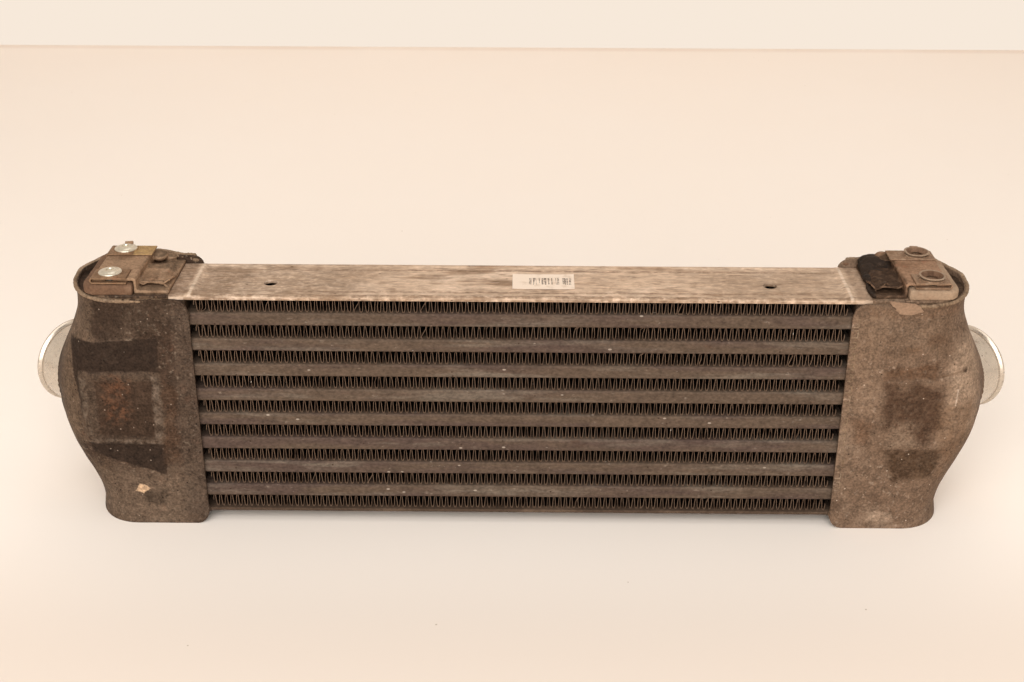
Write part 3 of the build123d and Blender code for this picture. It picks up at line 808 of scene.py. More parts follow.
CAP_LEFT = Finish(
    "cap_grimy", "tank_aluminium", (0.135, 0.082, 0.05), 0.05, 0.7, grain=0.45,
    grime=(
        Grime((0.2, 0.135, 0.088), 60, 0.48, 0.7, 0.8),
        Grime((0.05, 0.028, 0.017), 90, 0.52, 0.72, 0.8, seed=2),
    ),
    patches=(
        Patch((0.03, 0.018, 0.012), ((-322, -56), (-291, -56), (-284, 20), (-322, 20)),
              5, 0.95, 3, uneven=0.2, face=Face.TOP),
    ),
    relief=(Relief(300, 0.4),),
)

CAP_RIGHT = Finish(
    "cap_dusty", "tank_aluminium", (0.2, 0.125, 0.078), 0.05, 0.68, grain=0.42,
    grime=(
        Grime((0.3, 0.2, 0.13), 60, 0.48, 0.7, 0.8),
        Grime((0.065, 0.036, 0.022), 90, 0.52, 0.72, 0.8, seed=2),
    ),
    patches=(
        Patch((0.034, 0.02, 0.013), ((300, -44), (322, -44), (322, 20), (284, 20)),
              5, 0.92, 3, uneven=0.2, face=Face.TOP),
    ),
    relief=(Relief(300, 0.4),),
)

UNDERSIDE = Finish(
    "underside", "plate_aluminium", (0.075, 0.048, 0.032), 0.05, 0.7,
    grime=(Grime((0.16, 0.105, 0.07), 60, 0.5, 0.72, 0.7, (0.4, 1, 1)),),
    relief=(Relief(500, 0.15),),
)

BURNT = Finish(
    "burnt_remnant", "bracket_steel", (0.02, 0.0115, 0.007), 0, 0.62, grain=0.35, specular=0.12,
    grime=(
        Grime((0.008, 0.005, 0.0035), 90, 0.46, 0.68, 0.85),
        Grime((0.07, 0.042, 0.026), 140, 0.58, 0.74, 0.6, seed=2),
    ),
    relief=(Relief(180, 0.6), Relief(700, 0.3)),
)

FLAP = Finish(
    "torn_skin", "tank_aluminium", (0.28, 0.175, 0.11), 0.05, 0.7, grain=0.22,
    grime=(Grime((0.2, 0.118, 0.068), 90, 0.5, 0.72, 0.7),),
    relief=(Relief(300, 0.4),),
)

RIM = Finish(
    "rolled_rim", "tank_aluminium", (0.215, 0.14, 0.085), 0.05, 0.62, grain=0.4,
    grime=(
        Grime((0.34, 0.24, 0.16), 60, 0.48, 0.7, 0.8),
        Grime((0.085, 0.05, 0.03), 130, 0.54, 0.74, 0.8, seed=2),
    ),
    relief=(Relief(420, 0.25),),
)


@dataclass(frozen=True)
class FinFinish:
    """Thin fin sheet: pale along the cut edges, with near-black painted shade deeper in between them.
    """

    name: str = "air_fin"
    slot: str = "fin_aluminium"
    edge: Colour = (0.180, 0.114, 0.075)
    edge_dull: Colour = (0.060, 0.033, 0.020)
    # near-black painted shade for the fin sheet deeper in from its cut edges
    depth: Colour = (0.009, 0.0045, 0.0025)
    clot: Colour = (0.05, 0.03, 0.02)
    grit: Specks = Specks((0.62, 0.52, 0.42), 110.0, 0.12, 0.955)
    edge_reach: float = 0.9 * MM
    edge_fade: float = 1.6 * MM

    def material(self, front: float, back: float) -> bpy.types.Material:
        """Build the material once.

        Args:
            front: Y of the fins' front edge.
            back: Y of their back edge.

        Returns:
            The material.
        """
        found = bpy.data.materials.get(self.name)
        if found:
            return found
        paint = Paint(self.name)
        inward = paint.math("MINIMUM", paint.math("SUBTRACT", paint.axis(1), front),
                            paint.math("SUBTRACT", back, paint.axis(1)))
        # painted shade: the colour falls from the pale edge colour to the near-black depth colour
        # between about 1 and 2.5 mm in from the front and back edges
        share = paint.smooth(inward, self.edge_reach, self.edge_reach + self.edge_fade)
        dull = paint.smooth(paint.noise(90.0, (1.0, 0.4, 1.0)), 0.50, 0.72)
        edge = paint.mix(paint.times(dull, 0.85), self.edge, self.edge_dull)
        clots = paint.smooth(paint.noise(55.0, seed=3.0), 0.62, 0.70)
        edge = paint.mix(paint.times(clots, 0.8), edge, self.clot)
        colour = self.grit.lay(paint, paint.mix(share, edge, self.depth))
        rough = paint.math("MULTIPLY_ADD", paint.noise(300.0), 0.3, 0.4)
        return paint.coat(colour, rough, specular=0.05)


@dataclass(frozen=True)
class LabelFinish:
    """Aged paper label: bare at one end, a strip of plain hatching along the rest."""

    name: str = "label_paper"
    slot: str = "label_film"
    paper: Colour = (0.80, 0.64, 0.50)
    ink: Colour = (0.13, 0.090, 0.062)
    stain: Grime = Grime((0.60, 0.44, 0.31), 160.0, 0.48, 0.72, 0.7)
    bars: float = 900.0
    strip_along: Point2 = (0.27, 0.95)
    strip_across: Point2 = (0.30, 0.74)
    blocks: Point2 = (0.285, 0.935)
    block_half: float = 0.9

    def material(self, low: Vector, high: Vector) -> bpy.types.Material:
        """Build the material for a label between two corners.

        Args:
            low: Label's lowest corner.
            high: Label's highest corner.

        Returns:
            The material.
        """
        paint = Paint(self.name)
        x, y = low.x / MM, low.y / MM
        width, depth = high.x / MM - x, high.y / MM - y
        place = paint.add("ShaderNodeMapping", Vector=paint.place, Scale=(1.0, 0.03, 0.03))
        bars = paint.add("ShaderNodeTexNoise", Vector=place, Scale=self.bars, Detail=1.0)
        ink = paint.smooth(bars.outputs["Fac"], 0.47, 0.53)
        strip = rectangle(*(x + share * width for share in self.strip_along),
                          *(y + share * depth for share in self.strip_across))
        area = Patch(self.ink, strip, 0.4, 1.0, 0.1, face=Face.TOP).share(paint)
        ends = [self._end(paint, x + share * width, y, depth) for share in self.blocks]
        full = paint.math("MAXIMUM", ink, paint.math("MAXIMUM", *ends))
        worn = paint.smooth(paint.noise(900.0, seed=4.0), 0.66, 0.5)
        share = paint.times(paint.times(area, full), worn)
        colour = paint.mix(share, self.stain.lay(paint, self.paper), self.ink)
        rough = paint.math("MULTIPLY_ADD", paint.noise(200.0), 0.2, 0.45)
        return paint.coat(colour, rough)

    def _end(self, paint: Paint, x: float, y: float, depth: float) -> Socket:
        """Share of a solid dark block round x, from the label's front edge y to its back."""
        corners = rectangle(x - self.block_half, x + self.block_half, y, y + depth)
        return Patch(self.ink, corners, 0.3, 1.0, 0.1, face=Face.TOP).share(paint)


# ---- mesh making
def new_piece(name: str, mesh: bpy.types.Mesh) -> Piece:
    """Put a mesh in the scene as an object at the origin."""
    piece = bpy.data.objects.new(name, mesh)
    bpy.context.scene.collection.objects.link(piece)
    return piece


def piece_of(name: str, points: list, faces: list, edges: list | tuple = ()) -> Piece:
    """New piece from its points, faces and loose edges."""
    mesh = bpy.data.meshes.new(name)
    mesh.from_pydata(points, edges, faces)
    return new_piece(name, mesh)


def piece_from(name: str, work: bmesh.types.BMesh) -> Piece:
    """New piece from a work mesh, which is used up."""
    mesh = bpy.data.meshes.new(name)
    work.to_mesh(mesh)
    work.free()
    return new_piece(name, mesh)


def modify(piece: Piece, kind: str, **settings: object) -> None:
    """Add a modifier to a piece.

    Args:
        piece: Mesh object.
        kind: Modifier's type.
        **settings: Its properties, set in this order.
    """
    modifier = piece.modifiers.new(kind.lower(), kind)
    for key, value in settings.items():
        setattr(modifier, key, value)


def run_tree(piece: Piece, tree: bpy.types.NodeTree, values: dict) -> None:
    """Add a geometry tree to a piece and set its inputs by their identifiers.

    Args:
        piece: Object to carry the modifier.
        tree: Geometry tree.
        values: Input names with their values.
    """
    modifier = piece.modifiers.new("tree", "NODES")
    modifier.node_group = tree
    for item in tree.interface.items_tree:
        if item.in_out == "INPUT" and item.name in values:
            modifier[item.identifier] = values[item.name]


def settle(piece: Piece) -> None:
    """Apply an object's modifiers to its mesh and remove them.

    Args:
        piece: Mesh object.
    """
    bpy.context.view_layer.update()
    graph = bpy.context.evaluated_depsgraph_get()
    solid = bpy.data.meshes.new_from_object(piece.evaluated_get(graph))
    piece.modifiers.clear()
    piece.data = solid


def tidy_mesh(piece: Piece, merge: float = 0.0) -> None:
    """Point the faces outwards and shade them smooth up to sharp edges.

    Args:
        piece: Mesh object.
        merge: Distance under which points are merged first.
    """
    work = bmesh.new()
    work.from_mesh(piece.data)
    if merge > 0:
        bmesh.ops.remove_doubles(work, verts=work.verts, dist=merge)
    bmesh.ops.recalc_face_normals(work, faces=work.faces)
    work.to_mesh(piece.data)
    work.free()
    piece.data.shade_smooth()
    piece.data.set_sharp_from_angle(angle=SHARP_ANGLE)


def dress(piece: Piece, finish: Finish) -> None:
    """Give a piece one finish all over."""
    piece.data.materials.clear()
    piece.data.materials.append(finish.material())


def hand_over(piece: Piece, slot: str, *nodes: str) -> None:
    """Hold a finished piece inside the model's box, ride it on the body and hide the nodes that it
    replaces.

    Args:
        piece: Finished mesh object.
        slot: Material slot in the record; not used.
        *nodes: CAD nodes that it replaces.
    """
    hold_inside(piece)
    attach(piece, BODY)
    if nodes:
        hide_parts(*nodes)
    LOG.info("%s: %d faces", piece.name, len(piece.data.polygons))


def deliver(piece: Piece, finish: Finish, *nodes: str) -> None:
    """Tidy a piece, dress it and hand it over.

    Args:
        piece: Finished mesh object.
        finish: Its finish.
        *nodes: CAD nodes that it replaces.
    """
    tidy_mesh(piece)
    dress(piece, finish)
    hand_over(piece, finish.slot, *nodes)


def grid_piece(name: str, columns: int, rows: int, surface: Callable[[int, int], Vector]) -> Piece:
    """Sheet of quads over a grid of points.

    Args:
        name: Piece's name.
        columns: Points along the first index.
        rows: Points along the second index.
        surface: Place of the point at a column and a row.

    Returns:
        The open sheet as an object.
    """
    points = [surface(column, row) for column in range(columns) for row in range(rows)]
    faces = []
    for column in range(columns - 1):
        for row in range(rows - 1):
            start = column * rows + row
            faces.append((start, start + rows, start + rows + 1, start + 1))
    return piece_of(name, points, faces)


def step(value: float, low: float, high: float) -> float:
    """Smooth step from 0 at low to 1 at high, which may be the lower of the two."""
    share = max(0.0, min(1.0, (value - low) / (high - low)))
    return share * share * (3 - 2 * share)


def round_drop(inward: float, radius: float) -> float:
    """Fall of a rounded edge's surface at a distance in from the edge.

    Args:
        inward: Distance in from the edge.
        radius: Edge's radius.

    Returns:
        The fall, which is none past the radius.
    """
    if inward >= radius:
        return 0.0
    return radius - math.sqrt(max(0.0, radius ** 2 - (radius - inward) ** 2))


def cad_copy(node: str, name: str) -> Piece:
    """Copy a CAD node's mesh, merged where its faces meet.

    Args:
        node: Node to copy.
        name: Copy's name.

    Returns:
        The copy, as a new piece.
    """
    piece = new_piece(name, FRAME["nodes"][node].data.copy())
    tidy_mesh(piece, 0.005 * MM)
    return piece


def hold_inside(piece: Piece) -> None:
    """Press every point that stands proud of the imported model's box back onto it.

    Args:
        piece: Mesh object at the origin.
    """
    low, high = (Vector(corner) for corner in FRAME["box"])
    for vertex in piece.data.vertices:
        for axis in range(3):
            vertex.co[axis] = max(low[axis], min(high[axis], vertex.co[axis]))


@dataclass(frozen=True)
class Places:
    """Planes that the pieces share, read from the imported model."""

    nose: float
    back: float
    edge: float
    plate_top: float
    plate_end: float

    @classmethod
    def read(cls) -> Places:
        """Read the planes from the nodes' boxes.

        Returns:
            The planes.
        """
        tube_low, tube_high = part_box("charge_tube_1")
        plate_low, plate_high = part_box("side_plate_top")
        return cls(nose=tube_low.y, back=tube_high.y, edge=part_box("tank_right")[0].x,
                   plate_top=plate_low.z + PLATE_SHEET, plate_end=plate_high.x)


# ---- core
@dataclass(frozen=True)
class FinPack:
    """Corrugated air fins: a rounded wave of thin sheet in each row between the tubes."""

    places: Places
    finish: FinFinish = FinFinish()
    rows: int = 9
    pitch: float = 4.17 * MM
    sheet: float = 0.30 * MM
    points_a_wave: int = 18
    steepness: float = 1.9
    lean: float = 0.7 * MM
    crushed_row: int = 7
    crushed_place: float = 0.058
    crushed_width: float = 0.016
    crushed_lean: float = 3.2 * MM
    edge_wander: float = 1.2 * MM
    depth_spare: float = 0.8 * MM
    merge: float = 0.002 * MM

    def build(self) -> None:
        """Build and dress every row."""
        tree = self._tree()
        for row in range(1, self.rows + 1):
            low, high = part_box(f"air_fin_{row}")
            piece = new_piece(f"fin_row_{row}", bpy.data.meshes.new(f"fin_row_{row}"))
            waves = int((high.x - low.x) / self.pitch)
            crushed = self.crushed_lean if row == self.crushed_row else 0.0
            run_tree(piece, tree, {
                "Waves": waves, "Pitch": (high.x - low.x) / waves, "Height": high.z - low.z,
                "Sheet": self.sheet, "Depth": high.y - low.y, "Lean": self.lean,
                "Crushed Place": self.crushed_place, "Crushed Width": self.crushed_width,
                "Crushed Lean": crushed, "Seed": float(row),
                "Origin": (low.x, low.y, (low.z + high.z) / 2),
                "Finish": self.finish.material(low.y, high.y),
            })
            settle(piece)
            tidy_mesh(piece)
            hand_over(piece, self.finish.slot, f"air_fin_{row}")

    def _tree(self) -> bpy.types.NodeTree:
        """Geometry tree that draws one row.

        Returns:
            The node group.
        """
        lengths = ("Pitch", "Height", "Sheet", "Depth", "Lean", "Crushed Place",
                   "Crushed Width", "Crushed Lean", "Seed")
        kinds = {"Waves": "Int", **dict.fromkeys(lengths, "Float"), "Origin": "Vector",
                 "Finish": "Material"}
        net = new_tree("fin_wave", kinds, "Fins")
        given = net.add("NodeGroupInput").outputs
        count = net.math("MULTIPLY_ADD", given["Waves"], self.points_a_wave, 1)
        stride = net.math("DIVIDE", given["Pitch"], self.points_a_wave)
        offset = net.add("ShaderNodeCombineXYZ", X=stride).outputs[0]
        line = net.add("GeometryNodeMeshLine", Count=count, Offset=offset)
        where = net.add("GeometryNodeInputPosition").outputs[0]
        x = net.add("ShaderNodeSeparateXYZ", Vector=where).outputs[0]
        turns = net.math("DIVIDE", x, given["Pitch"])
        swing = net.math("SINE", net.times(turns, 2 * math.pi))
        flat = net.math("TANH", net.times(swing, self.steepness))
        unit = net.math("DIVIDE", flat, 2 * math.tanh(self.steepness))
        z = net.times(unit, net.math("SUBTRACT", given["Height"], given["Sheet"]))
        shift = self._lean_shift(net, given, turns, x, unit)
        edge = net.times(self._wander(net, turns, given["Seed"], 0.21, 40.0), self.edge_wander)
        moved = net.add("ShaderNodeCombineXYZ", X=net.math("ADD", x, shift),
                        Y=net.math("ABSOLUTE", edge), Z=z)
        bent = net.add("GeometryNodeSetPosition", Geometry=line, Position=moved)
        deep = net.add("ShaderNodeCombineXYZ",
                       Y=net.math("SUBTRACT", given["Depth"], self.depth_spare)).outputs[0]
        ribbon = net.add("GeometryNodeExtrudeMesh", {"mode": "EDGES"}, Mesh=bent, Offset=deep)
        thick = net.add("GeometryNodeExtrudeMesh", {"mode": "FACES"}, Mesh=ribbon,
                        Offset_Scale=given["Sheet"], Individual=False)
        back = net.add("GeometryNodeFlipFaces", Mesh=ribbon)
        both = net.add("GeometryNodeJoinGeometry")
        net.tree.links.new(thick.outputs[0], both.inputs[0])
        net.tree.links.new(back.outputs[0], both.inputs[0])
        closed = net.add("GeometryNodeMergeByDistance", Geometry=both, Distance=self.merge)
        placed = net.add("GeometryNodeTransform", Geometry=closed, Translation=given["Origin"])
        net.close(placed.outputs[0], Material=given["Finish"])
        return net.tree

    @staticmethod
    def _wander(net: Wiring, turns: object, seed: object, pace: float, spread: float) -> Socket:
        """Noise along the row, between about -0.5 and 0.5.

        Args:
            net: Geometry tree's nodes.
            turns: Waves along the row so far.
            seed: Row's seed.
            pace: Lumps a wave.
            spread: Shift between one row's pattern and the next.

        Returns:
            The noise's socket.
        """
        place = net.math("MULTIPLY_ADD", turns, pace, net.times(seed, spread))
        source = net.add("ShaderNodeTexNoise", {"noise_dimensions": "1D"}, W=place, Scale=1.0,
                         Detail=1.0)
        return net.math("SUBTRACT", source.outputs[0], 0.5)

    def _lean_shift(self, net: Wiring, given: object, turns: object, x: object,
                    unit: object) -> Socket:
        """Sideways shift of a point where its leg leans or is crushed.

        Args:
            net: Geometry tree's nodes.
            given: Group input's sockets.
            turns: Waves along the row so far.
            x: Place along the row.
            unit: Height, from -0.5 to 0.5.

        Returns:
            The shift's socket.
        """
        small = net.times(self._wander(net, turns, given["Seed"], 1.1, 17.0), given["Lean"])
        knocked = net.smooth(self._wander(net, turns, given["Seed"], 0.8, 29.0), 0.27, 0.33)
        large = net.times(knocked, net.times(given["Lean"], 3.2))
        away = net.math("DIVIDE", net.math("SUBTRACT", x, given["Crushed Place"]),
                        given["Crushed Width"])
        bell = net.math("EXPONENT", net.times(net.times(away, away), -1.0))
        crush = net.times(self._wander(net, turns, given["Seed"], 1.7, 5.0),
                          given["Crushed Lean"])
        crush = net.times(bell, crush)
        total = net.math("ADD", net.math("ADD", small, large), crush)
        return net.times(total, net.times(unit, 2.0))


@dataclass(frozen=True)
class TopPlate:
    """Top side plate: rolled lips, shallow sunk middle, cross beads and jig holes."""

    places: Places
    overhang: float = 0.5 * MM
    thickness: float = PLATE_SHEET
    lip_width: float = 5.2 * MM
    sunk: float = 0.7 * MM
    panel_end: float = 226.0 * MM
    lip_radius: float = 1.8 * MM
    bead_place: float = 228.4 * MM
    bead_rise: float = 1.0 * MM
    bead_half: float = 1.9 * MM
    hole_radius: float = 4.8 * MM
    hole_x: float = 175.4 * MM
    hole_ahead: float = 4.4 * MM
    columns: int = 324
    rows: int = 64
    crowding: float = 0.55
    wave: float = 0.20 * MM
    nick: float = 0.06 * MM
    top_spare: float = 0.1 * MM

    def height(self, x: float, y: float) -> float:
        """Height of the plate's upper surface above its flat level.

        Args:
            x: Place along the plate.
            y: Place across it.

        Returns:
            Height in metres, never above the cross beads' crown.
        """
        front = self.places.nose - self.overhang
        back = self.places.back + self.overhang
        inward = min(y - front, back - y)
        panel = 1.0 - step(abs(x), self.panel_end - 2 * MM, self.panel_end)
        sink = -self.sunk * step(inward, self.lip_width - 1.2 * MM, self.lip_width) * panel
        sink -= round_drop(inward, self.lip_radius)
        ridge = math.exp(-((abs(x) - self.bead_place) / self.bead_half) ** 2)
        spread = step(inward, 0.0, 4 * MM)
        lump = noise.noise(Vector((x * 25, y * 60, 1.0))) * self.wave * spread
        nick = noise.noise(Vector((x * 260, y * 260, 4.0))) * self.nick
        return sink + self.bead_rise * ridge * spread + lump + nick

    def build(self) -> None:
        """Build, drill and dress the plate."""
        places = self.places
        front = places.nose - self.overhang
        back = places.back + self.overhang
        top = places.plate_top - self.top_spare

        def surface(column: int, row: int) -> Vector:
            """Place of a grid point, with the rows crowded towards the two lips."""
            x = -places.plate_end + 2 * places.plate_end * column / (self.columns - 1)
            share = row / (self.rows - 1)
            eased = share - math.sin(2 * math.pi * share) / (2 * math.pi) * self.crowding
            y = front + (back - front) * eased
            return Vector((x, y, top + self.height(x, y)))

        piece = grid_piece("side_plate_top_skin", self.columns, self.rows, surface)
        work = bmesh.new()
        work.from_mesh(piece.data)
        upper = list(work.faces)
        made = bmesh.ops.extrude_face_region(work, geom=upper)
        for item in made["geom"]:
            if isinstance(item, bmesh.types.BMVert):
                item.co.z = places.plate_top - self.thickness
        work.to_mesh(piece.data)
        work.free()
        tidy_mesh(piece)
        for side in Side:
            hole = cylinder(self.hole_radius, 20 * MM, Matrix.Translation((
                side.value * self.hole_x,
                (places.nose + places.back) / 2 - self.hole_ahead, places.plate_top)))
            cut(piece, hole)
        deliver(piece, PLATE, "side_plate_top")


def cylinder(radius: float, length: float, place: Matrix, sides: int = 64,
             top_radius: float | None = None) -> Piece:
    """Closed cylinder or cone along Z, centred, for cutting.

    Args:
        radius: Radius at the bottom.
        length: Height.
        place: Where to set it.
        sides: Steps round the axis.
        top_radius: Radius at the top, where it isn't the same.

    Returns:
        The cutter.
    """
    work = bmesh.new()
    bmesh.ops.create_cone(work, cap_ends=True, segments=sides, radius1=radius,
                          radius2=radius if top_radius is None else top_radius,
                          depth=length, matrix=place)
    return piece_from("cutter", work)


def cut(piece: Piece, tool: Piece) -> None:
    """Cut one solid out of another and delete the tool.

    Args:
        piece: Solid to cut.
        tool: Solid to take away.
    """
    modify(piece, "BOOLEAN", operation="DIFFERENCE", object=tool, solver="EXACT")
    settle(piece)
    bpy.data.objects.remove(tool)


def blob(centre: Triple, radii: Triple) -> Piece:
    """Ellipsoid to be melted into something.

    Args:
        centre: Its middle, in millimetres.
        radii: Its half sizes, in millimetres.

    Returns:
        The ellipsoid.
    """
    work = bmesh.new()
    bmesh.ops.create_icosphere(work, subdivisions=4, radius=1.0)
    work.transform(Matrix.Translation(Vector(centre) * MM)
                   @ Matrix.Diagonal((*(Vector(radii) * MM), 1)))
    return piece_from("blob", work)


def melt(name: str, pieces: list[Piece], voxel: float, crumple: float = 0.0,
         scale: float = 200.0, rounds: int = 2) -> Piece:
    """Melt closed pieces into one skin, soften it and crumple it.

    Args:
        name: Name of the result.
        pieces: Closed pieces, which are used up.
        voxel: Cell size of the skin.
        crumple: How far noise moves the skin, in or out.
        scale: Noise lumps a metre.
        rounds: Rounds of smoothing.

    Returns:
        The melted piece.
    """
    work = bmesh.new()
    for piece in pieces:
        work.from_mesh(piece.data)
        bpy.data.objects.remove(piece)
    result = piece_from(name, work)
    modify(result, "REMESH", mode="VOXEL", voxel_size=voxel)
    modify(result, "SMOOTH", factor=0.5, iterations=rounds)
    settle(result)
    moved = []
    for vertex in result.data.vertices:
        push = noise.noise(vertex.co * scale) + 0.5 * noise.noise(vertex.co * scale * 2.7)
        moved.append(vertex.co + vertex.normal * push * crumple)
    for vertex, place in zip(result.data.vertices, moved):
        vertex.co = place
    return result


@dataclass(frozen=True)
class Core:
    """Brazed core: tubes, fins, side plates and headers."""

    places: Places
    tubes: int = 8

    def build(self) -> None:
        """Dress the CAD nodes and build what replaces the rest."""
        for row in range(1, self.tubes + 1):
            self._keep(f"charge_tube_{row}", TUBES)
            self._keep(f"turbulator_{row}", INSIDE)
        for side in Side:
            self._keep(f"header_{side.word}", INSIDE)
        self._keep("side_plate_bottom", UNDERSIDE)
        FinPack(self.places).build()
        TopPlate(self.places).build()
        self._label()

    @staticmethod
    def _label() -> None:
        """Build the thin label, a little lifted at its corners."""
        low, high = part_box("label")
        columns, rows = 45, 27
        finish = LabelFinish()

        def surface(column: int, row: int) -> Vector:
            """Place of a grid point on the label's face."""
            across, along = column / (columns - 1), row / (rows - 1)
            x = low.x + (high.x - low.x) * across
            y = low.y + (high.y - low.y) * along
            corner = (2 * abs(across - 0.5)) ** 8 * (2 * abs(along - 0.5)) ** 4
            lift = 0.35 * MM * corner + 0.05 * MM * noise.noise(Vector((x, y, 0)) * 160)
            return Vector((x, y, high.z - 0.08 * MM + lift))

        piece = grid_piece("label_sheet", columns, rows, surface)
        modify(piece, "SOLIDIFY", thickness=0.15 * MM, offset=-1.0)
        settle(piece)
        tidy_mesh(piece)
        piece.data.materials.append(finish.material(low, high))
        hand_over(piece, finish.slot, "label")

    @staticmethod
    def _keep(node: str, finish: Finish) -> None:
        """Give a CAD node that stays its finish.

        Args:
            node: Node's name.
            finish: Its finish.
        """
        holder = FRAME["nodes"][node]
        for index in range(max(1, len(holder.material_slots))):
            if index < len(holder.material_slots):
                holder.material_slots[index].material = finish.material()
            else:
                holder.data.materials.append(finish.material())


# ---- tanks
@dataclass(frozen=True)
class TankForm:
    """Form of an end tank's sheet: its outline from above at each height."""

    places: Places
    reach: float = 84.0 * MM
    proud: float = 3.3 * MM
    back_swell: float = 6.0 * MM
    flange_run: float = 16.0 * MM
    front_radius: float = 33.0 * MM
    back_radius: float = 14.0 * MM
    corner_radius: float = 10.0 * MM
    rim_front_drop: float = 2.1 * MM
    rim_back_rise: float = 6.0 * MM
    bulge: tuple[float, float, float, float] = (10.2 * MM, 86.0 * MM, 103.5 * MM, 176.0 * MM)
    bulge_front: float = 10.0 * MM
    spigot_radius: float = 30.0 * MM
    spigot_azimuth: float = math.radians(52)
    spigot_height: float = 95.5 * MM
    stand_out: float = 26.0 * MM
    inside: float = 12.0 * MM
    mouth_out: float = 114.0 * MM
    mouth_back: float = 78.5 * MM
    seat_margin: float = 0.5 * MM
    levels: int = 32

    @property
    def out(self) -> Vector:
        """Direction in which the right spigot points."""
        return Vector((math.sin(self.spigot_azimuth), math.cos(self.spigot_azimuth), 0.0))

    @property
    def seat(self) -> Vector:
        """Centre of the right spigot's seat face."""
        mouth = Vector((self.places.edge + self.mouth_out, self.places.nose + self.mouth_back,
                        self.spigot_height))
        return mouth - self.out * self.stand_out

    def swell(self, height: float) -> float:
        """Share of the swelling at a height, from 0 to 1."""
        foot, low, high, head = self.bulge
        return min(step(height, foot, low), step(height, head, high))

    def rim(self, y: float) -> float:
        """Height of the sloping top rim at a depth."""
        front = self.places.nose - self.proud
        back = self.places.back + self.proud + self.back_swell
        slope = (self.rim_back_rise + self.rim_front_drop) / (back - front)
        return self.places.plate_top - self.rim_front_drop + slope * (y - front)

    def corners(self, share: float) -> list[tuple[Vector, float]]:
        """Outline's corners from above, anticlockwise, with their radii.

        Args:
            share: Share of the swelling.

        Returns:
            Corner and radius, from the front edge beside the core to the back one.
        """
        edge, nose = self.places.edge, self.places.nose
        front = nose - self.proud
        flange = self.places.back + self.proud
        back = flange + self.back_swell
        far = edge + self.reach
        half = self.spigot_radius + self.seat_margin
        seat, out = self.seat, self.out
        plain = [(far, front), (far, back - 1.9 * self.back_radius),
                 (far - 1.4 * self.back_radius, back), (edge + 2 * self.flange_run, back)]
        swollen = [(far + self.bulge_front, front),
                   (seat.x + out.y * half, seat.y - out.x * half),
                   (seat.x - out.y * half, seat.y + out.x * half),
                   (edge + 2 * self.flange_run, back + self.back_swell)]
        moved = [Vector(a).lerp(Vector(b), share) for a, b in zip(plain, swollen)]
        points = [Vector((edge, front)), *moved, Vector((edge + self.flange_run, flange)),
                  Vector((edge, flange))]
        radii = [0.0, self.front_radius, *([self.back_radius] * 4), 0.0]
        return list(zip(points, radii))

    def outline(self, share: float, pace: float) -> list[Vector]:
        """Points along the outline, as many at every share of the swelling.

        Args:
            share: Share of the swelling.
            pace: Rough distance between points.

        Returns:
            Points from above.
        """
        plain = self._pieces(0.0)
        counts = [max(3, round(length / pace)) for _, length in plain]
        points: list[Vector] = []
        for (draw, _), count in zip(self._pieces(share), counts):
            points += [draw(index / count) for index in range(count)]
        points.append(self.corners(share)[-1][0])
        return points

    def _pieces(self, share: float) -> list[tuple[Callable[[float], Vector], float]]:
        """Runs and arcs of the outline in order, each with its length.

        Args:
            share: Share of the swelling.

        Returns:
            Drawing function and length of each piece.
        """
        corners = self.corners(share)
        pieces = []
        here = corners[0][0]
        for index in range(1, len(corners)):
            corner, radius = corners[index]
            if radius == 0 or index == len(corners) - 1:
                pieces.append((line_run(here, corner), (corner - here).length))
                here = corner
                continue
            before = (corner - corners[index - 1][0]).normalized()
            after = (corners[index + 1][0] - corner).normalized()
            turn = math.atan2(before.x * after.y - before.y * after.x, before.dot(after))
            trim = radius * math.tan(abs(turn) / 2)
            start = corner - before * trim
            pieces.append((line_run(here, start), (start - here).length))
            pieces.append((arc_run(start, before, radius, turn), radius * abs(turn)))
            here = corner + after * trim
        return pieces


def line_run(start: Vector, end: Vector) -> Callable[[float], Vector]:
    """Straight run from one point to another, drawn by its share."""
    return lambda share: start.lerp(end, share)


def arc_run(start: Vector, heading: Vector, radius: float,
            turn: float) -> Callable[[float], Vector]:
    """Arc from a point along a heading, drawn by its share.

    Args:
        start: Where the arc starts.
        heading: Unit direction in which it starts.
        radius: Its radius.
        turn: Angle that it turns through, to the left where it is positive.

    Returns:
        Function that gives the arc's point at a share of its length.
    """
    left = 1.0 if turn > 0 else -1.0
    normal = Vector((-heading.y, heading.x)) * left
    centre = start + normal * radius

    def draw(share: float) -> Vector:
        """Point at a share of the arc."""
        angle = turn * share
        arm = start - centre
        return centre + Vector((arm.x * math.cos(angle) - arm.y * math.sin(angle),
                                arm.x * math.sin(angle) + arm.y * math.cos(angle)))

    return draw


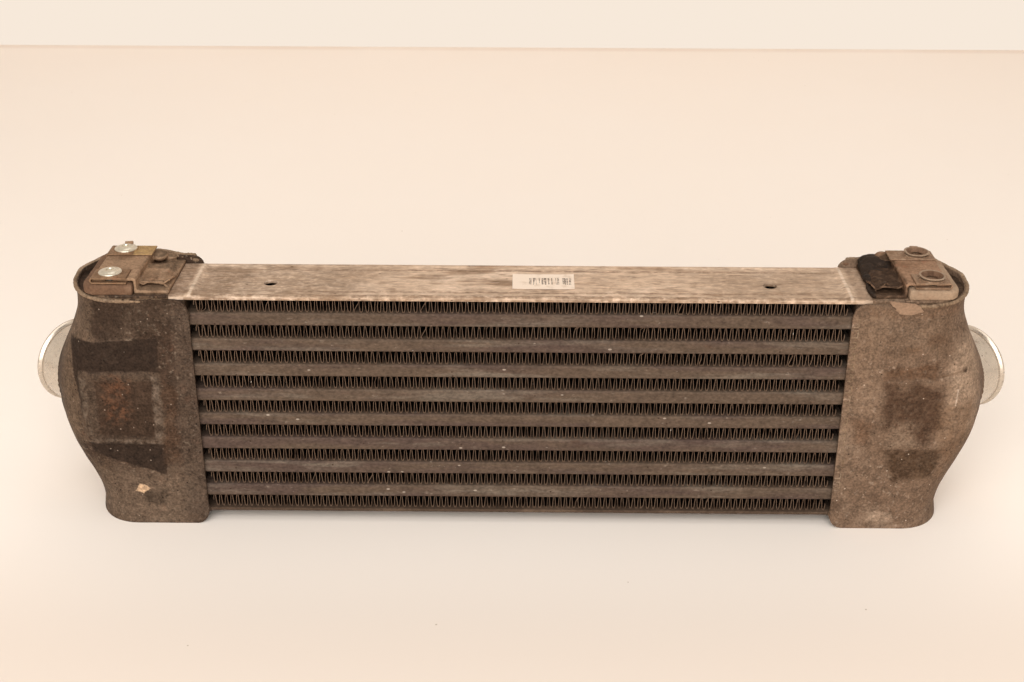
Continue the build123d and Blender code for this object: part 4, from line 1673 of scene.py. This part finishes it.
@dataclass(frozen=True)
class EndTank:
    """Pressed end tank: swollen sheet, embossed pad, cap, spigot and its weld."""

    form: TankForm
    side: Side
    finish: Finish
    wall: float = 2.0 * MM
    cap_gap: float = 0.4 * MM
    pace: float = 1.5 * MM
    rows: int = 124
    emboss_half: Point2 = (30 * MM, 29 * MM)
    emboss_corner: float = 7.0 * MM
    emboss_x: float = 54.0 * MM
    emboss_rise: float = 1.2 * MM
    emboss_frame: float = 5.0 * MM
    lip_rise: float = 0.5 * MM
    lip_height: float = 4.0 * MM
    rim_radius: float = 1.45 * MM
    rim_start: float = 18.0 * MM
    rim_depth: float = 0.5 * MM
    rim_buried: float = 0.95
    buried_run: Point2 = (46.0 * MM, 20.0 * MM)
    rim_sag: float = 0.8 * MM
    sag_run: Point2 = (66.0 * MM, 44.0 * MM)
    far_run: Point2 = (45.0 * MM, 75.0 * MM)
    foot_flare: float = 0.9 * MM
    foot_height: float = 12.0 * MM
    foot_lip: float = 0.5 * MM
    dent: float = 0.5 * MM
    calm_band: float = 8.0 * MM
    bore_spare: float = 0.2 * MM
    spigot_wall: float = 2.0 * MM
    bead_rise: float = 1.9 * MM
    bead_length: float = 4.4 * MM
    stitch_low: float = 34.0 * MM
    stitch_high: float = 164.0 * MM

    def skin(self) -> Piece:
        """Build the tank's sheet.

        Returns:
            The pressed sheet, right-hand side, with its thickness.
        """
        form = self.form
        levels = [form.outline(level / form.levels, self.pace) for level in range(form.levels + 1)]
        plain = levels[0]

        def span(point: Vector) -> Point2:
            """Lowest and highest height of the sheet at a point of its outline."""
            drop = round_drop(point.x - form.places.edge, form.corner_radius)
            return drop, form.rim(point.y) - drop

        def surface(column: int, row: int) -> Vector:
            """Place of a grid point, with the swelling of its height."""
            low, high = span(plain[column])
            z = low + (high - low) * row / (self.rows - 1)
            level = form.swell(z) * form.levels
            index = min(form.levels - 1, int(level))
            flat = levels[index][column].lerp(levels[index + 1][column], level - index)
            return Vector((flat.x, flat.y, z))

        piece = grid_piece(f"tank_skin_{self.side.word}", len(plain), self.rows, surface)
        self._press(piece, [span(point) for point in plain])
        modify(piece, "SOLIDIFY", thickness=self.wall, offset=-1.0, use_even_offset=True)
        modify(piece, "BEVEL", width=0.5 * MM, segments=2, angle_limit=math.radians(60))
        settle(piece)
        return piece

    def _press(self, piece: Piece, spans: list[Point2]) -> None:
        """Press the pad, the rim's lip and the dents into the sheet.

        Args:
            piece: Sheet whose points are moved along their normals.
            spans: Lowest and highest height of each column.
        """
        mesh = piece.data
        normals = [vertex.normal.copy() for vertex in mesh.vertices]
        for index, vertex in enumerate(mesh.vertices):
            low, high = spans[index // self.rows]
            place = vertex.co
            amount = self._pad(place) * step(-normals[index].y, 0.3, 0.7)
            outer = step(place.x - self.form.places.edge, *self.far_run)
            lip = self.lip_rise * (0.45 + 0.55 * outer)
            amount += lip * step(high - place.z, self.lip_height, 1.0 * MM)
            amount += self.foot_flare * outer * step(place.z - low, self.foot_height, 3 * MM)
            amount += self.foot_lip * step(place.z - low, 4 * MM, 1 * MM)
            calm = (step(place.z - low, 0.0, self.calm_band)
                    * step(high - place.z, 0.0, self.calm_band))
            seed = Vector((0.0, 0.0, 7.0 * self.side.value))
            amount += self.dent * calm * (noise.noise(place * 38 + seed)
                                          + 0.5 * noise.noise(place * 90 + seed))
            vertex.co = place + normals[index] * amount

    def _pad(self, place: Vector) -> float:
        """Height of the embossed pad: a raised frame round a slightly sunk middle.

        Args:
            place: Point of the sheet.

        Returns:
            How far the point is pressed out.
        """
        x = place.x - self.form.places.edge - self.emboss_x
        z = place.z - self.form.spigot_height
        across = abs(x) - self.emboss_half[0] + self.emboss_corner
        up = abs(z) - self.emboss_half[1] + self.emboss_corner
        outside = math.hypot(max(across, 0.0), max(up, 0.0)) + min(max(across, up), 0.0)
        inward = self.emboss_corner - outside
        raised = step(inward, -0.8 * MM, 1.6 * MM)
        sunk = step(inward, self.emboss_frame, self.emboss_frame + 2.5 * MM)
        return self.emboss_rise * (raised - 0.5 * sunk)

    def build(self) -> None:
        """Build the skin, its spigot and welds, and dress the cap plates."""
        piece = self.skin()
        form = self.form
        word = self.side.word
        left = self.side is Side.LEFT
        turn = Vector((0, 0, 1)).rotation_difference(form.out).to_matrix().to_4x4()
        place = Matrix.Translation(form.seat + form.out * 5 * MM) @ turn
        tidy_mesh(piece)
        outer = BVHTree.FromObject(piece, bpy.context.evaluated_depsgraph_get())
        ring = self._weld_path(outer)
        cut(piece, cylinder(form.spigot_radius + self.bore_spare, 60 * MM, place, 96))
        self._finish(piece, self.finish, f"tank_{word}")
        self._finish(self._spigot(turn), SPIGOT, f"spigot_{word}")
        weld = WeldBead(f"spigot_weld_{word}", ring, 1.7 * MM, closed=True)
        # painted shade: on the left the weld takes the dark underside finish, standing in for the dark
        # ring of shade round the spigot's root
        self._finish(weld.build(), UNDERSIDE if left else self.finish)
        rim = WeldBead(f"rim_bead_{word}", self._rim_path(), self.rim_radius, spacing=0.45,
                       flatten=1.0, uneven=0.16, seed=3)
        self._finish(rim.build(), RIM)
        joint = WeldBead(f"cap_weld_{word}", self._cap_path(), 1.5 * MM, spacing=0.7,
                         uneven=0.42, seed=5 + self.side.value)
        self._finish(joint.build(), self.finish)
        stitches = WeldBead(f"edge_stitches_{word}", self._stitch_path(), 0.62 * MM, breaks=4,
                            spacing=0.9, uneven=0.4, seed=8, voxel=0.30 * MM)
        self._finish(stitches.build(), self.finish if left else RIM)
        self._cap("top", CAP_LEFT if left else CAP_RIGHT)
        self._cap("bottom", self.finish)

    def _cap(self, level: str, finish: Finish) -> None:
        """Dress a cap plate, drawn in so that it stays inside the sheet.

        Args:
            level: Which of the two, top or bottom.
            finish: Its finish.
        """
        node = f"tank_cap_{level}_{self.side.word}"
        piece = cad_copy(node, f"cap_{level}_{self.side.word}")
        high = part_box(f"tank_cap_{level}_right")[1]
        edge = self.form.places.edge
        share = (self.form.reach - self.wall - self.cap_gap) / (high.x - edge)
        for vertex in piece.data.vertices:
            out = abs(vertex.co.x) - edge
            vertex.co.x = self.side.value * (edge + out * min(share, 1.0))
        deliver(piece, finish, node)

    def _weld_path(self, outer: BVHTree) -> list[Vector]:
        """Find where the spigot's tube meets the tank's sheet, right-hand side.

        Args:
            outer: Search tree of the sheet.

        Returns:
            Points round the tube.
        """
        form = self.form
        across = Vector((-form.out.y, form.out.x, 0.0))
        points = []
        steps = 96
        for index in range(steps):
            angle = 2 * math.pi * index / steps
            arm = across * math.cos(angle) + Vector((0, 0, 1)) * math.sin(angle)
            start = form.seat + arm * (form.spigot_radius + 0.9 * MM) + form.out * 40 * MM
            hit = outer.ray_cast(start, -form.out)[0]
            if hit is not None:
                points.append(hit)
        return points

    def _rim_path(self) -> list[Vector]:
        """Middle of the rolled rim, right-hand side: flush in front, proud at the far end.

        Returns:
            Points from the front edge beside the core to the back one.
        """
        form = self.form
        edge = form.places.edge
        middle = (form.places.nose + form.places.back) / 2
        back_start = form.corner_radius * 0.7
        points = [point for point in form.outline(0.0, self.pace)
                  if point.x - edge > (back_start if point.y > middle else self.rim_start)]
        path = []
        for index, point in enumerate(points):
            before = points[max(0, index - 1)]
            after = points[min(len(points) - 1, index + 1)]
            along = (after - before).normalized()
            outer = max(step(point.x - edge, *self.far_run),
                        step(point.y, form.places.nose, form.places.back))
            in_front = point.y < middle
            buried = self.rim_buried * step(point.x - edge, *self.buried_run) if in_front else 0.0
            place = point + Vector((along.y, -along.x)) * (-0.62 + 1.1 * outer - buried) * MM
            inward = place.x - edge
            height = form.rim(point.y) - round_drop(inward, form.corner_radius) - self.rim_depth
            if in_front:
                height -= self.rim_sag * step(inward, *self.sag_run)
            path.append(Vector((place.x, place.y, height)))
        return path

    def _cap_path(self) -> list[Vector]:
        """Middle of the rough weld between the cap and the front wall.

        Returns:
            Points from the core outwards.
        """
        form = self.form
        count = 60
        start = form.places.edge + 15 * MM
        end = form.places.edge + form.reach - form.front_radius + 6 * MM
        path = []
        for index in range(count):
            x = start + (end - start) * index / (count - 1)
            sway = noise.noise(Vector((x * 300, 3.0, 7.0))) * 0.7 * MM
            path.append(Vector((x, form.places.nose - form.proud + 2.7 * MM + sway,
                                form.places.plate_top - 0.6 * MM)))
        return path

    def _stitch_path(self) -> list[Vector]:
        """Hooked weld stitches up the sheet's edge beside the core.

        Returns:
            Four points for each stitch.
        """
        form = self.form
        path = []
        z = self.stitch_low
        count = 0
        while z < self.stitch_high:
            sway = noise.noise(Vector((z * 400, 1.0, 2.0)))
            length = (5.0 + 3.0 * sway) * MM
            inner, outer = (1.2 + 0.5 * sway) * MM, (4.6 + 1.2 * sway) * MM
            corners = ((inner, z), (outer, z), (outer, z + length), (inner * 2, z + length))
            for x, height in corners:
                path.append(Vector((form.places.edge + x, form.places.nose - form.proud + 0.2 * MM,
                                    height)))
            z += length + (3.4 + 2.4 * noise.noise(Vector((count * 1.7, 5.0, 2.0)))) * MM
            count += 1
        return path

    def _spigot(self, turn: Matrix) -> Piece:
        """Turned hose spigot with a bead at its mouth and a groove behind it.

        Args:
            turn: Rotation from upright to the spigot's direction.

        Returns:
            The right-hand spigot in place.
        """
        form = self.form
        r = form.spigot_radius
        mouth = form.stand_out
        bore = r - self.spigot_wall
        bead_low = mouth - 5.0 * MM
        profile = [(r, -form.inside), (r, bead_low - 2.0 * MM), (r - 1.0 * MM, bead_low - 1.7 * MM),
                   (r - 1.0 * MM, bead_low - 0.9 * MM), (r, bead_low - 0.5 * MM)]
        for index in range(9):
            share = index / 8
            profile.append((r + self.bead_rise * math.sin(math.pi * share),
                            bead_low + self.bead_length * share))
        profile += [(r - 0.3 * MM, mouth), (bore + 0.4 * MM, mouth), (bore, mouth - 0.5 * MM),
                    (bore, -form.inside)]
        piece = lathe(f"spigot_turned_{self.side.word}", profile, 128)
        piece.data.transform(Matrix.Translation(form.seat) @ turn)
        return piece

    def _finish(self, piece: Piece, finish: Finish, *nodes: str) -> None:
        """Mirror a right-hand piece where the tank is the left one, and deliver it.

        Args:
            piece: Finished right-hand piece.
            finish: Its finish.
            *nodes: CAD nodes that it replaces.
        """
        if self.side is Side.LEFT:
            piece.data.transform(Matrix.Scale(-1, 4, (1, 0, 0)))
        deliver(piece, finish, *nodes)


def lathe(name: str, profile: list[Point2], sides: int) -> Piece:
    """Ring turned about Z from a closed profile of radius and height.

    Args:
        name: Piece's name.
        profile: Radius and height of each corner, in order round the section.
        sides: Steps round the axis.

    Returns:
        The closed ring.
    """
    count = len(profile)
    points = []
    faces = []
    for side in range(sides):
        angle = 2 * math.pi * side / sides
        for radius, height in profile:
            points.append((radius * math.cos(angle), radius * math.sin(angle), height))
        for index in range(count):
            after = (index + 1) % count
            start, end = side * count, ((side + 1) % sides) * count
            faces.append((start + index, end + index, end + after, start + after))
    return piece_of(name, points, faces)


@dataclass(frozen=True)
class WeldBead:
    """Rippled weld bead: overlapping drops along a path, melted into one skin."""

    name: str
    path: list[Vector]
    radius: float
    closed: bool = False
    spacing: float = 0.75
    flatten: float = 0.8
    voxel: float = 0.45 * MM
    uneven: float = 0.25
    seed: int = 1
    breaks: int = 0

    def build(self) -> Piece:
        """Lay the drops along the path and melt them together.

        Returns:
            The bead, in place and without a finish.
        """
        last = len(self.path)
        edges = [(index, (index + 1) % last) for index in range(last if self.closed else last - 1)
                 if self.breaks == 0 or index % self.breaks < self.breaks - 1]
        piece = piece_of(self.name, self.path, [], edges)
        run_tree(piece, self._tree(), {
            "Spacing": self.radius * self.spacing, "Radius": self.radius,
            "Flatten": self.flatten, "Uneven": self.uneven, "Seed": self.seed})
        modify(piece, "REMESH", mode="VOXEL", voxel_size=self.voxel)
        settle(piece)
        return piece

    @staticmethod
    def _tree() -> bpy.types.NodeTree:
        """Geometry tree that strings drops along the mesh's edges.

        Returns:
            The node group, built once.
        """
        found = bpy.data.node_groups.get("weld_drops")
        if found:
            return found
        lengths = ("Spacing", "Radius", "Flatten", "Uneven")
        kinds = {"Path": "Geometry", **dict.fromkeys(lengths, "Float"), "Seed": "Int"}
        net = new_tree("weld_drops", kinds, "Bead")
        given = net.add("NodeGroupInput").outputs
        curve = net.add("GeometryNodeMeshToCurve", Mesh=given["Path"])
        points = net.add("GeometryNodeCurveToPoints", {"mode": "LENGTH"}, Curve=curve,
                         Length=given["Spacing"])
        ball = net.add("GeometryNodeMeshIcoSphere", Radius=given["Radius"], Subdivisions=2)
        most = net.math("ADD", given["Uneven"], 1.0)
        least = net.math("SUBTRACT", 1.0, given["Uneven"])
        size = net.add("FunctionNodeRandomValue", {"data_type": "FLOAT"})
        net.feed(size.inputs[2], least)
        net.feed(size.inputs[3], most)
        net.feed(size.inputs["Seed"], given["Seed"])
        scale = net.add("ShaderNodeCombineXYZ", X=size.outputs[1],
                        Y=net.times(size.outputs[1], given["Flatten"]),
                        Z=size.outputs[1])
        drops = net.add("GeometryNodeInstanceOnPoints", Points=points.outputs["Points"],
                        Instance=ball, Rotation=points.outputs["Rotation"],
                        Scale=scale)
        net.close(drops.outputs[0])
        return net.tree


# ---- brackets
@dataclass(frozen=True)
class BracketSet:
    """Bracket, saddle, clip nuts and screws at one end."""

    places: Places
    side: Side
    axis: float = 53.5 * MM
    worn_run: Point2 = (13.0 * MM, 36.0 * MM)
    worn_above: float = 2.3 * MM
    collar_sink: float = 0.7 * MM
    collar_rise: float = 3.1 * MM
    box_spare: float = 0.1 * MM
    dish_radii: Point2 = (5.6 * MM, 7.9 * MM)
    dish_depth: float = 1.5 * MM
    dish_sink: float = 0.65 * MM
    shank: float = 3.9 * MM
    head: float = 2.2 * MM

    def build(self) -> None:
        """Build the worn bracket, saddle and clips, and what is particular to one side."""
        word = self.side.word
        right = self.side is Side.RIGHT
        bracket = BRACKET if right else BRACKET_LEFT
        self._bracket(bracket)
        worn = melt(f"saddle_worn_{word}", [cad_copy(f"saddle_{word}", "saddle")], 0.6 * MM,
                    0.30 * MM, 160.0, 30 if right else 18)
        deliver(worn, SADDLE_RIGHT if right else SADDLE_LEFT, f"saddle_{word}")
        for end in ("front", "back"):
            node = f"clip_nut_{end}_{word}"
            piece = melt(f"{node}_worn", [cad_copy(node, "clip")], 0.34 * MM, 0.07 * MM, 300.0)
            self._dish(piece, node)
            deliver(piece, CLIP_RIGHT if right else CLIP_LEFT, node)
            if right:
                self._collar(node)
            else:
                self._screw(f"screw_{end}_{word}")
        if right:
            self._remnant()
            self._flap()
        self._tongue(bracket)
        self._lumps()

    def _spot(self, x: float, y: float, z: float) -> Triple:
        """Place so far past the tank edge, behind the noses and above the plate, in mm."""
        places = self.places
        return (self.side.value * (places.edge / MM + x), places.nose / MM + y,
                places.plate_top / MM + z)

    def _bracket(self, finish: Finish) -> None:
        """Build the folded bracket with its curled front edge and rear knuckle.

        Args:
            finish: Its finish.
        """
        word = self.side.word
        body = cad_copy(f"bracket_{word}", "bracket")
        extras = [blob(self._spot(24.0 + 2.2 * index, 3.2, 1.4 + 0.25 * (index % 2)),
                       (2.2, 1.5, 1.3)) for index in range(-4, 6)]
        lobe_rise = 8.2 if self.side is Side.RIGHT else 6.4
        extras.append(blob(self._spot(31.5, 57.0, lobe_rise), (6.0, 7.5, 3.6)))
        extras.append(blob(self._spot(25.0, 60.0, 4.0), (5.5, 4.0, 2.6)))
        piece = melt(f"bracket_worn_{word}", [body, *extras], 0.52 * MM, 0.16 * MM, 170.0, 3)
        low, high = (self.places.edge + x for x in self.worn_run)
        front = self.places.nose + 9 * MM
        for vertex in piece.data.vertices:
            share = (abs(vertex.co.x) - low) / (high - low)
            above = vertex.co.z - self.places.plate_top
            if not 0.0 < share < 1.0 or above < self.worn_above:
                continue
            near = step(vertex.co.y - front, 17 * MM, 0.0) * step(vertex.co.y - front, -3 * MM, 0.0)
            inner = step(share, 0.0, 0.15) * step(share, 1.0, 0.8)
            vertex.co.z -= (0.4 + 0.5 * noise.noise(vertex.co * 260)) * MM * near * inner
        deliver(piece, finish, f"bracket_{word}")

    def _tongue(self, finish: Finish) -> None:
        """Build the crumpled tongue, from the foot up to its wavy front edge.

        Args:
            finish: Its finish.
        """
        columns, rows = 61, 45

        def surface(column: int, row: int) -> Vector:
            """Place of a grid point, more crumpled towards the front edge."""
            across, along = column / (columns - 1), row / (rows - 1)
            wave = math.cos(4 * math.pi * across + 0.5 * self.side.value)
            fold = noise.noise(Vector((across * 4.0, along * 3.0, 3.0 * self.side.value)))
            x = 13.6 + 23.0 * across + 1.2 * fold * along
            y = 33.0 - (22.0 + 1.8 * math.sin(9.0 * across)) * along
            z = 2.4 + 3.1 * step(along, 0.15, 0.95) + (1.25 * wave + 1.0 * fold) * along ** 2
            return Vector(self._spot(x, y, z)) * MM

        piece = grid_piece(f"tongue_{self.side.word}", columns, rows, surface)
        modify(piece, "SOLIDIFY", thickness=1.2 * MM, offset=0.0)
        modify(piece, "BEVEL", width=0.3 * MM, segments=2)
        settle(piece)
        deliver(piece, finish)

    def _middle(self, node: str, z: float) -> Matrix:
        """Shift onto a clip nut's axis at a height."""
        low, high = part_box(node)
        x = self.side.value * (self.places.edge + self.axis)
        return Matrix.Translation((x, (low.y + high.y) / 2, z))

    def _collar(self, node: str) -> None:
        """Build the flared collar round a clip nut's open mouth, and its dark throat.

        Args:
            node: Clip nut's node.
        """
        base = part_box(node)[1].z - self.collar_sink
        rise = min(self.collar_rise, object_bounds()[1][2] - base - self.box_spare)
        flare = [(5.3, 0.0), (6.3, 0.45), (7.4, 0.85), (8.2, 1.0), (8.9, 0.93), (9.1, 0.78),
                 (8.7, 0.66), (7.6, 0.50), (6.9, 0.0)]
        throat = [(4.1, 0.06), (5.5, 0.06), (6.5, 0.50), (7.3, 0.88), (7.5, 0.92), (7.1, 0.97),
                  (6.1, 0.62), (5.1, 0.20)]
        for name, profile in (("collar", flare), ("throat", throat)):
            ring = lathe(f"{name}_{node}", [(r * MM, share * rise) for r, share in profile], 72)
            ring.data.transform(self._middle(node, base))
            if name == "throat":
                deliver(ring, SADDLE_LEFT)
                continue
            for vertex in ring.data.vertices:
                lump = noise.noise(vertex.co * 140)
                vertex.co.z = min(vertex.co.z + lump * 0.45 * MM, base + rise)
            deliver(ring, COLLAR)

    def _dish(self, piece: Piece, node: str) -> None:
        """Turn the collar of a node's worn clip into a thin-edged dish round its hole."""
        place = self._middle(node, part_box(node)[1].z - self.dish_sink)
        cut(piece, cylinder(self.dish_radii[0], self.dish_depth, place, 48, self.dish_radii[1]))

    def _screw(self, node: str) -> None:
        """Build a flange-head screw: thin flange, low dome and a shallow drive recess.

        Args:
            node: Screw's node.
        """
        low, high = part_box(node)
        top = high.z
        r = (high.x - low.x) / 2
        seat = top - self.head
        profile = [(0.02 * MM, low.z), (self.shank, low.z), (self.shank, seat),
                   (r - 0.1 * MM, seat), (r, seat + 0.3 * MM), (r - 0.2 * MM, seat + 0.7 * MM),
                   (r - 1.6 * MM, seat + 0.9 * MM), (r - 2.4 * MM, seat + 1.5 * MM),
                   (r - 3.4 * MM, top - 0.2 * MM), (r - 4.4 * MM, top), (2.6 * MM, top),
                   (2.3 * MM, top - 0.8 * MM), (0.02 * MM, top - 0.9 * MM)]
        piece = lathe(f"{node}_turned", profile, 64)
        middle = (low + high) / 2
        piece.data.transform(Matrix.Translation((middle.x, middle.y, 0.0)))
        deliver(piece, ZINC, node)

    def _remnant(self) -> None:
        """Burnt soft remnant that droops over the right bracket's foot."""
        drops = [blob(self._spot(*place), radii) for place, radii in (
            ((26.0, 56.0, 4.6), (12.0, 10.5, 5.4)), ((33.5, 50.0, 3.8), (6.5, 12.0, 4.4)),
            ((20.0, 48.0, 3.4), (7.5, 13.0, 4.4)), ((16.6, 35.0, 2.2), (4.2, 14.0, 2.6)),
            ((19.5, 28.0, 2.4), (4.6, 9.0, 2.4)), ((25.0, 41.0, 3.2), (9.5, 10.0, 3.2)),
            ((14.6, 14.0, 1.4), (2.6, 13.0, 1.9)), ((36.0, 38.0, 3.4), (2.6, 12.0, 3.2)))]
        deliver(melt("burnt_remnant", drops, 0.6 * MM, 0.9 * MM, 120.0), BURNT)

    def _flap(self) -> None:
        """Torn scrap of skin stuck on the right tank's front."""
        corners = ((22.9, 184.4), (42.0, 182.4), (48.0, 176.9), (39.2, 173.9), (31.3, 174.6),
                   (26.6, 180.3))
        face = self.places.nose - 4.5 * MM
        work = bmesh.new()
        outline = [work.verts.new((self.places.edge + x * MM, face, z * MM)) for x, z in corners]
        work.faces.new(outline)
        bmesh.ops.triangulate(work, faces=work.faces)
        bmesh.ops.subdivide_edges(work, edges=work.edges, cuts=9, use_grid_fill=True)
        for vertex in work.verts:
            vertex.co.y += noise.noise(vertex.co * 200) * 0.6 * MM
            vertex.co.x += noise.noise(vertex.co * 500) * 0.5 * MM
            vertex.co.z += noise.noise(vertex.co * 470 + Vector((3, 1, 2))) * 0.5 * MM
        piece = piece_from("torn_flap", work)
        modify(piece, "SOLIDIFY", thickness=0.8 * MM, offset=0.0)
        settle(piece)
        deliver(piece, FLAP)

    def _lumps(self) -> None:
        """Lumps of old sealant along the rear rim, beside the bracket."""
        spots = ((15.0, 61.6, 3.8), (19.0, 62.2, 4.2), (23.0, 62.4, 4.0), (10.5, 61.2, 3.0),
                 (6.5, 60.6, 1.6))
        drops = [blob(self._spot(*spot), (3.4, 1.9, 1.8)) for spot in spots]
        piece = melt(f"rim_lumps_{self.side.word}", drops, 0.5 * MM, 0.35 * MM, 260.0)
        deliver(piece, SADDLE_LEFT if self.side is Side.RIGHT else RIM)


# ---- studio
@dataclass(frozen=True)
class Studio:
    """Pale floor and wall, soft light and the camera."""

    floor: Colour = (0.95, 0.845, 0.742)
    # painted shade colour for the seam stripe and the near floor
    floor_shade: Colour = (0.84, 0.705, 0.590)
    wall: Colour = (0.835, 0.785, 0.720)
    paper: Colour = (0.930, 0.815, 0.700)
    worn: Colour = (0.955, 0.862, 0.770)
    crumbs: Specks = Specks((0.55, 0.42, 0.30), 38.0, 0.035, 0.75)
    wall_back: float = 1.36
    wall_height: float = 2.5
    floor_front: float = -2.3
    floor_half: float = 6.0
    aim: Triple = (0.0, 0.0, 0.1)
    camera_place: Triple = (0.00268, -0.94014, 0.58251)
    pitch: float = math.radians(25.88)
    yaw: float = -0.009
    roll: float = 0.003
    lens: float = 49.96
    sky: float = 0.26

    def build(self) -> None:
        """Set the stage."""
        scene = bpy.context.scene
        scene.view_settings.view_transform = "Standard"
        self._camera(scene)
        self._stage()
        self._light("key", (-0.3, -2.4, 1.5), 2.8, 99.0)
        self._light("top", (0.4, -0.3, 2.8), 2.6, 24.0)
        self._world(scene)

    def _world(self, scene: bpy.types.Scene) -> None:
        """Set a dim soft sky that the camera and shiny metal see as plain pale paper.

        Args:
            scene: Scene to light.
        """
        world = bpy.data.worlds.new("room")
        scene.world = world
        world.use_nodes = True
        net = Wiring(world.node_tree)
        sky = world.node_tree.nodes["Background"]
        sky.inputs["Color"].default_value = (1.0, 0.99, 0.975, 1.0)
        sky.inputs["Strength"].default_value = self.sky
        paper = net.add("ShaderNodeBackground")
        paper.inputs["Color"].default_value = (*self.paper, 1.0)
        path = net.add("ShaderNodeLightPath").outputs
        shiny = net.math("MAXIMUM", path["Is Glossy Ray"], path["Is Transmission Ray"])
        both = net.add("ShaderNodeMixShader")
        net.feed(both.inputs[0], net.math("MAXIMUM", path["Is Camera Ray"], shiny))
        net.feed(both.inputs[1], sky.outputs[0])
        net.feed(both.inputs[2], paper.outputs[0])
        net.feed(world.node_tree.nodes["World Output"].inputs["Surface"], both.outputs[0])

    def _camera(self, scene: bpy.types.Scene) -> None:
        """Create the camera from its pitch, yaw and roll.

        Args:
            scene: Scene to add it to.
        """
        data = bpy.data.cameras.new("camera")
        data.lens = self.lens
        data.sensor_width = 36.0
        data.clip_start = 0.01
        camera = bpy.data.objects.new("camera", data)
        scene.collection.objects.link(camera)
        ahead = Vector((math.sin(self.yaw) * math.cos(self.pitch),
                        math.cos(self.yaw) * math.cos(self.pitch), -math.sin(self.pitch)))
        right = Vector((math.cos(self.yaw), -math.sin(self.yaw), 0.0))
        up = right.cross(ahead)
        right_rolled = right * math.cos(self.roll) + up * math.sin(self.roll)
        up_rolled = up * math.cos(self.roll) - right * math.sin(self.roll)
        axes = Matrix((right_rolled, up_rolled, -ahead)).transposed().to_4x4()
        camera.matrix_world = Matrix.Translation(self.camera_place) @ axes
        scene.camera = camera

    def _stage(self) -> None:
        """Lay the floor, with painted shade along its far seam and towards its front, and a wall behind
        it that gives light but isn't seen.
        """
        half = self.floor_half

        def floor(column: int, row: int) -> Vector:
            """Corner of the floor."""
            y = self.floor_front + (self.wall_back - self.floor_front) * row
            return Vector((half - 2 * half * column, y, 0.0))

        def wall(column: int, row: int) -> Vector:
            """Corner of the wall."""
            return Vector((half - 2 * half * column, self.wall_back, self.wall_height * row))

        sheet = grid_piece("backdrop_floor", 2, 2, floor)
        upright = grid_piece("backdrop_wall", 2, 2, wall)
        upright.visible_camera = False
        paint = Paint("backdrop_paper")
        colour = paint.mix(paint.smooth(paint.axis(2), 0.0, 0.05), self.floor, self.wall)
        # painted shade: a thin darker stripe along the floor's far edge, where the seam with the wall
        # would be shaded
        seam_shade = paint.smooth(paint.axis(1), self.wall_back - 0.03, self.wall_back - 0.01)
        colour = paint.mix(paint.times(seam_shade, 0.7), colour, self.floor_shade)
        soft = paint.smooth(paint.noise(3.0), 0.4, 0.7)
        colour = paint.mix(paint.times(soft, 0.35), colour, self.worn)
        # painted shade: the floor darkens towards the front, in front of the part
        near = paint.smooth(paint.axis(1), -0.03, -0.22)
        colour = paint.mix(near, colour, self.floor_shade)
        paint.coat(self.crumbs.lay(paint, colour), 0.85)
        for piece in (sheet, upright):
            piece.data.materials.append(paint.material)
            piece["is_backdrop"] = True

    def _light(self, name: str, place: Triple, size: float, power: float) -> None:
        """Add one soft square lamp aimed at the part.

        Args:
            name: Lamp's name.
            place: Where it hangs.
            size: Its side.
            power: Its power in watts.
        """
        data = bpy.data.lights.new(name, "AREA")
        data.size = size
        data.energy = power
        lamp = bpy.data.objects.new(name, data)
        bpy.context.scene.collection.objects.link(lamp)
        heading = (Vector(self.aim) - Vector(place)).to_track_quat("-Z", "Y")
        lamp.matrix_world = Matrix.Translation(place) @ heading.to_matrix().to_4x4()


def main() -> None:
    """Build every sub-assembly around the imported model."""
    logging.basicConfig(level=logging.INFO, format="%(name)s %(message)s")
    FRAME.update(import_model())
    box_at_start = [list(corner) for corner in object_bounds()]
    FRAME["box"] = box_at_start
    places = Places.read()
    Core(places).build()
    form = TankForm(places)
    EndTank(form, Side.RIGHT, TANK_RIGHT).build()
    EndTank(form, Side.LEFT, TANK_LEFT).build()
    for side in Side:
        BracketSet(places, side).build()
    Studio().build()


if __name__ == "__main__":
    main()
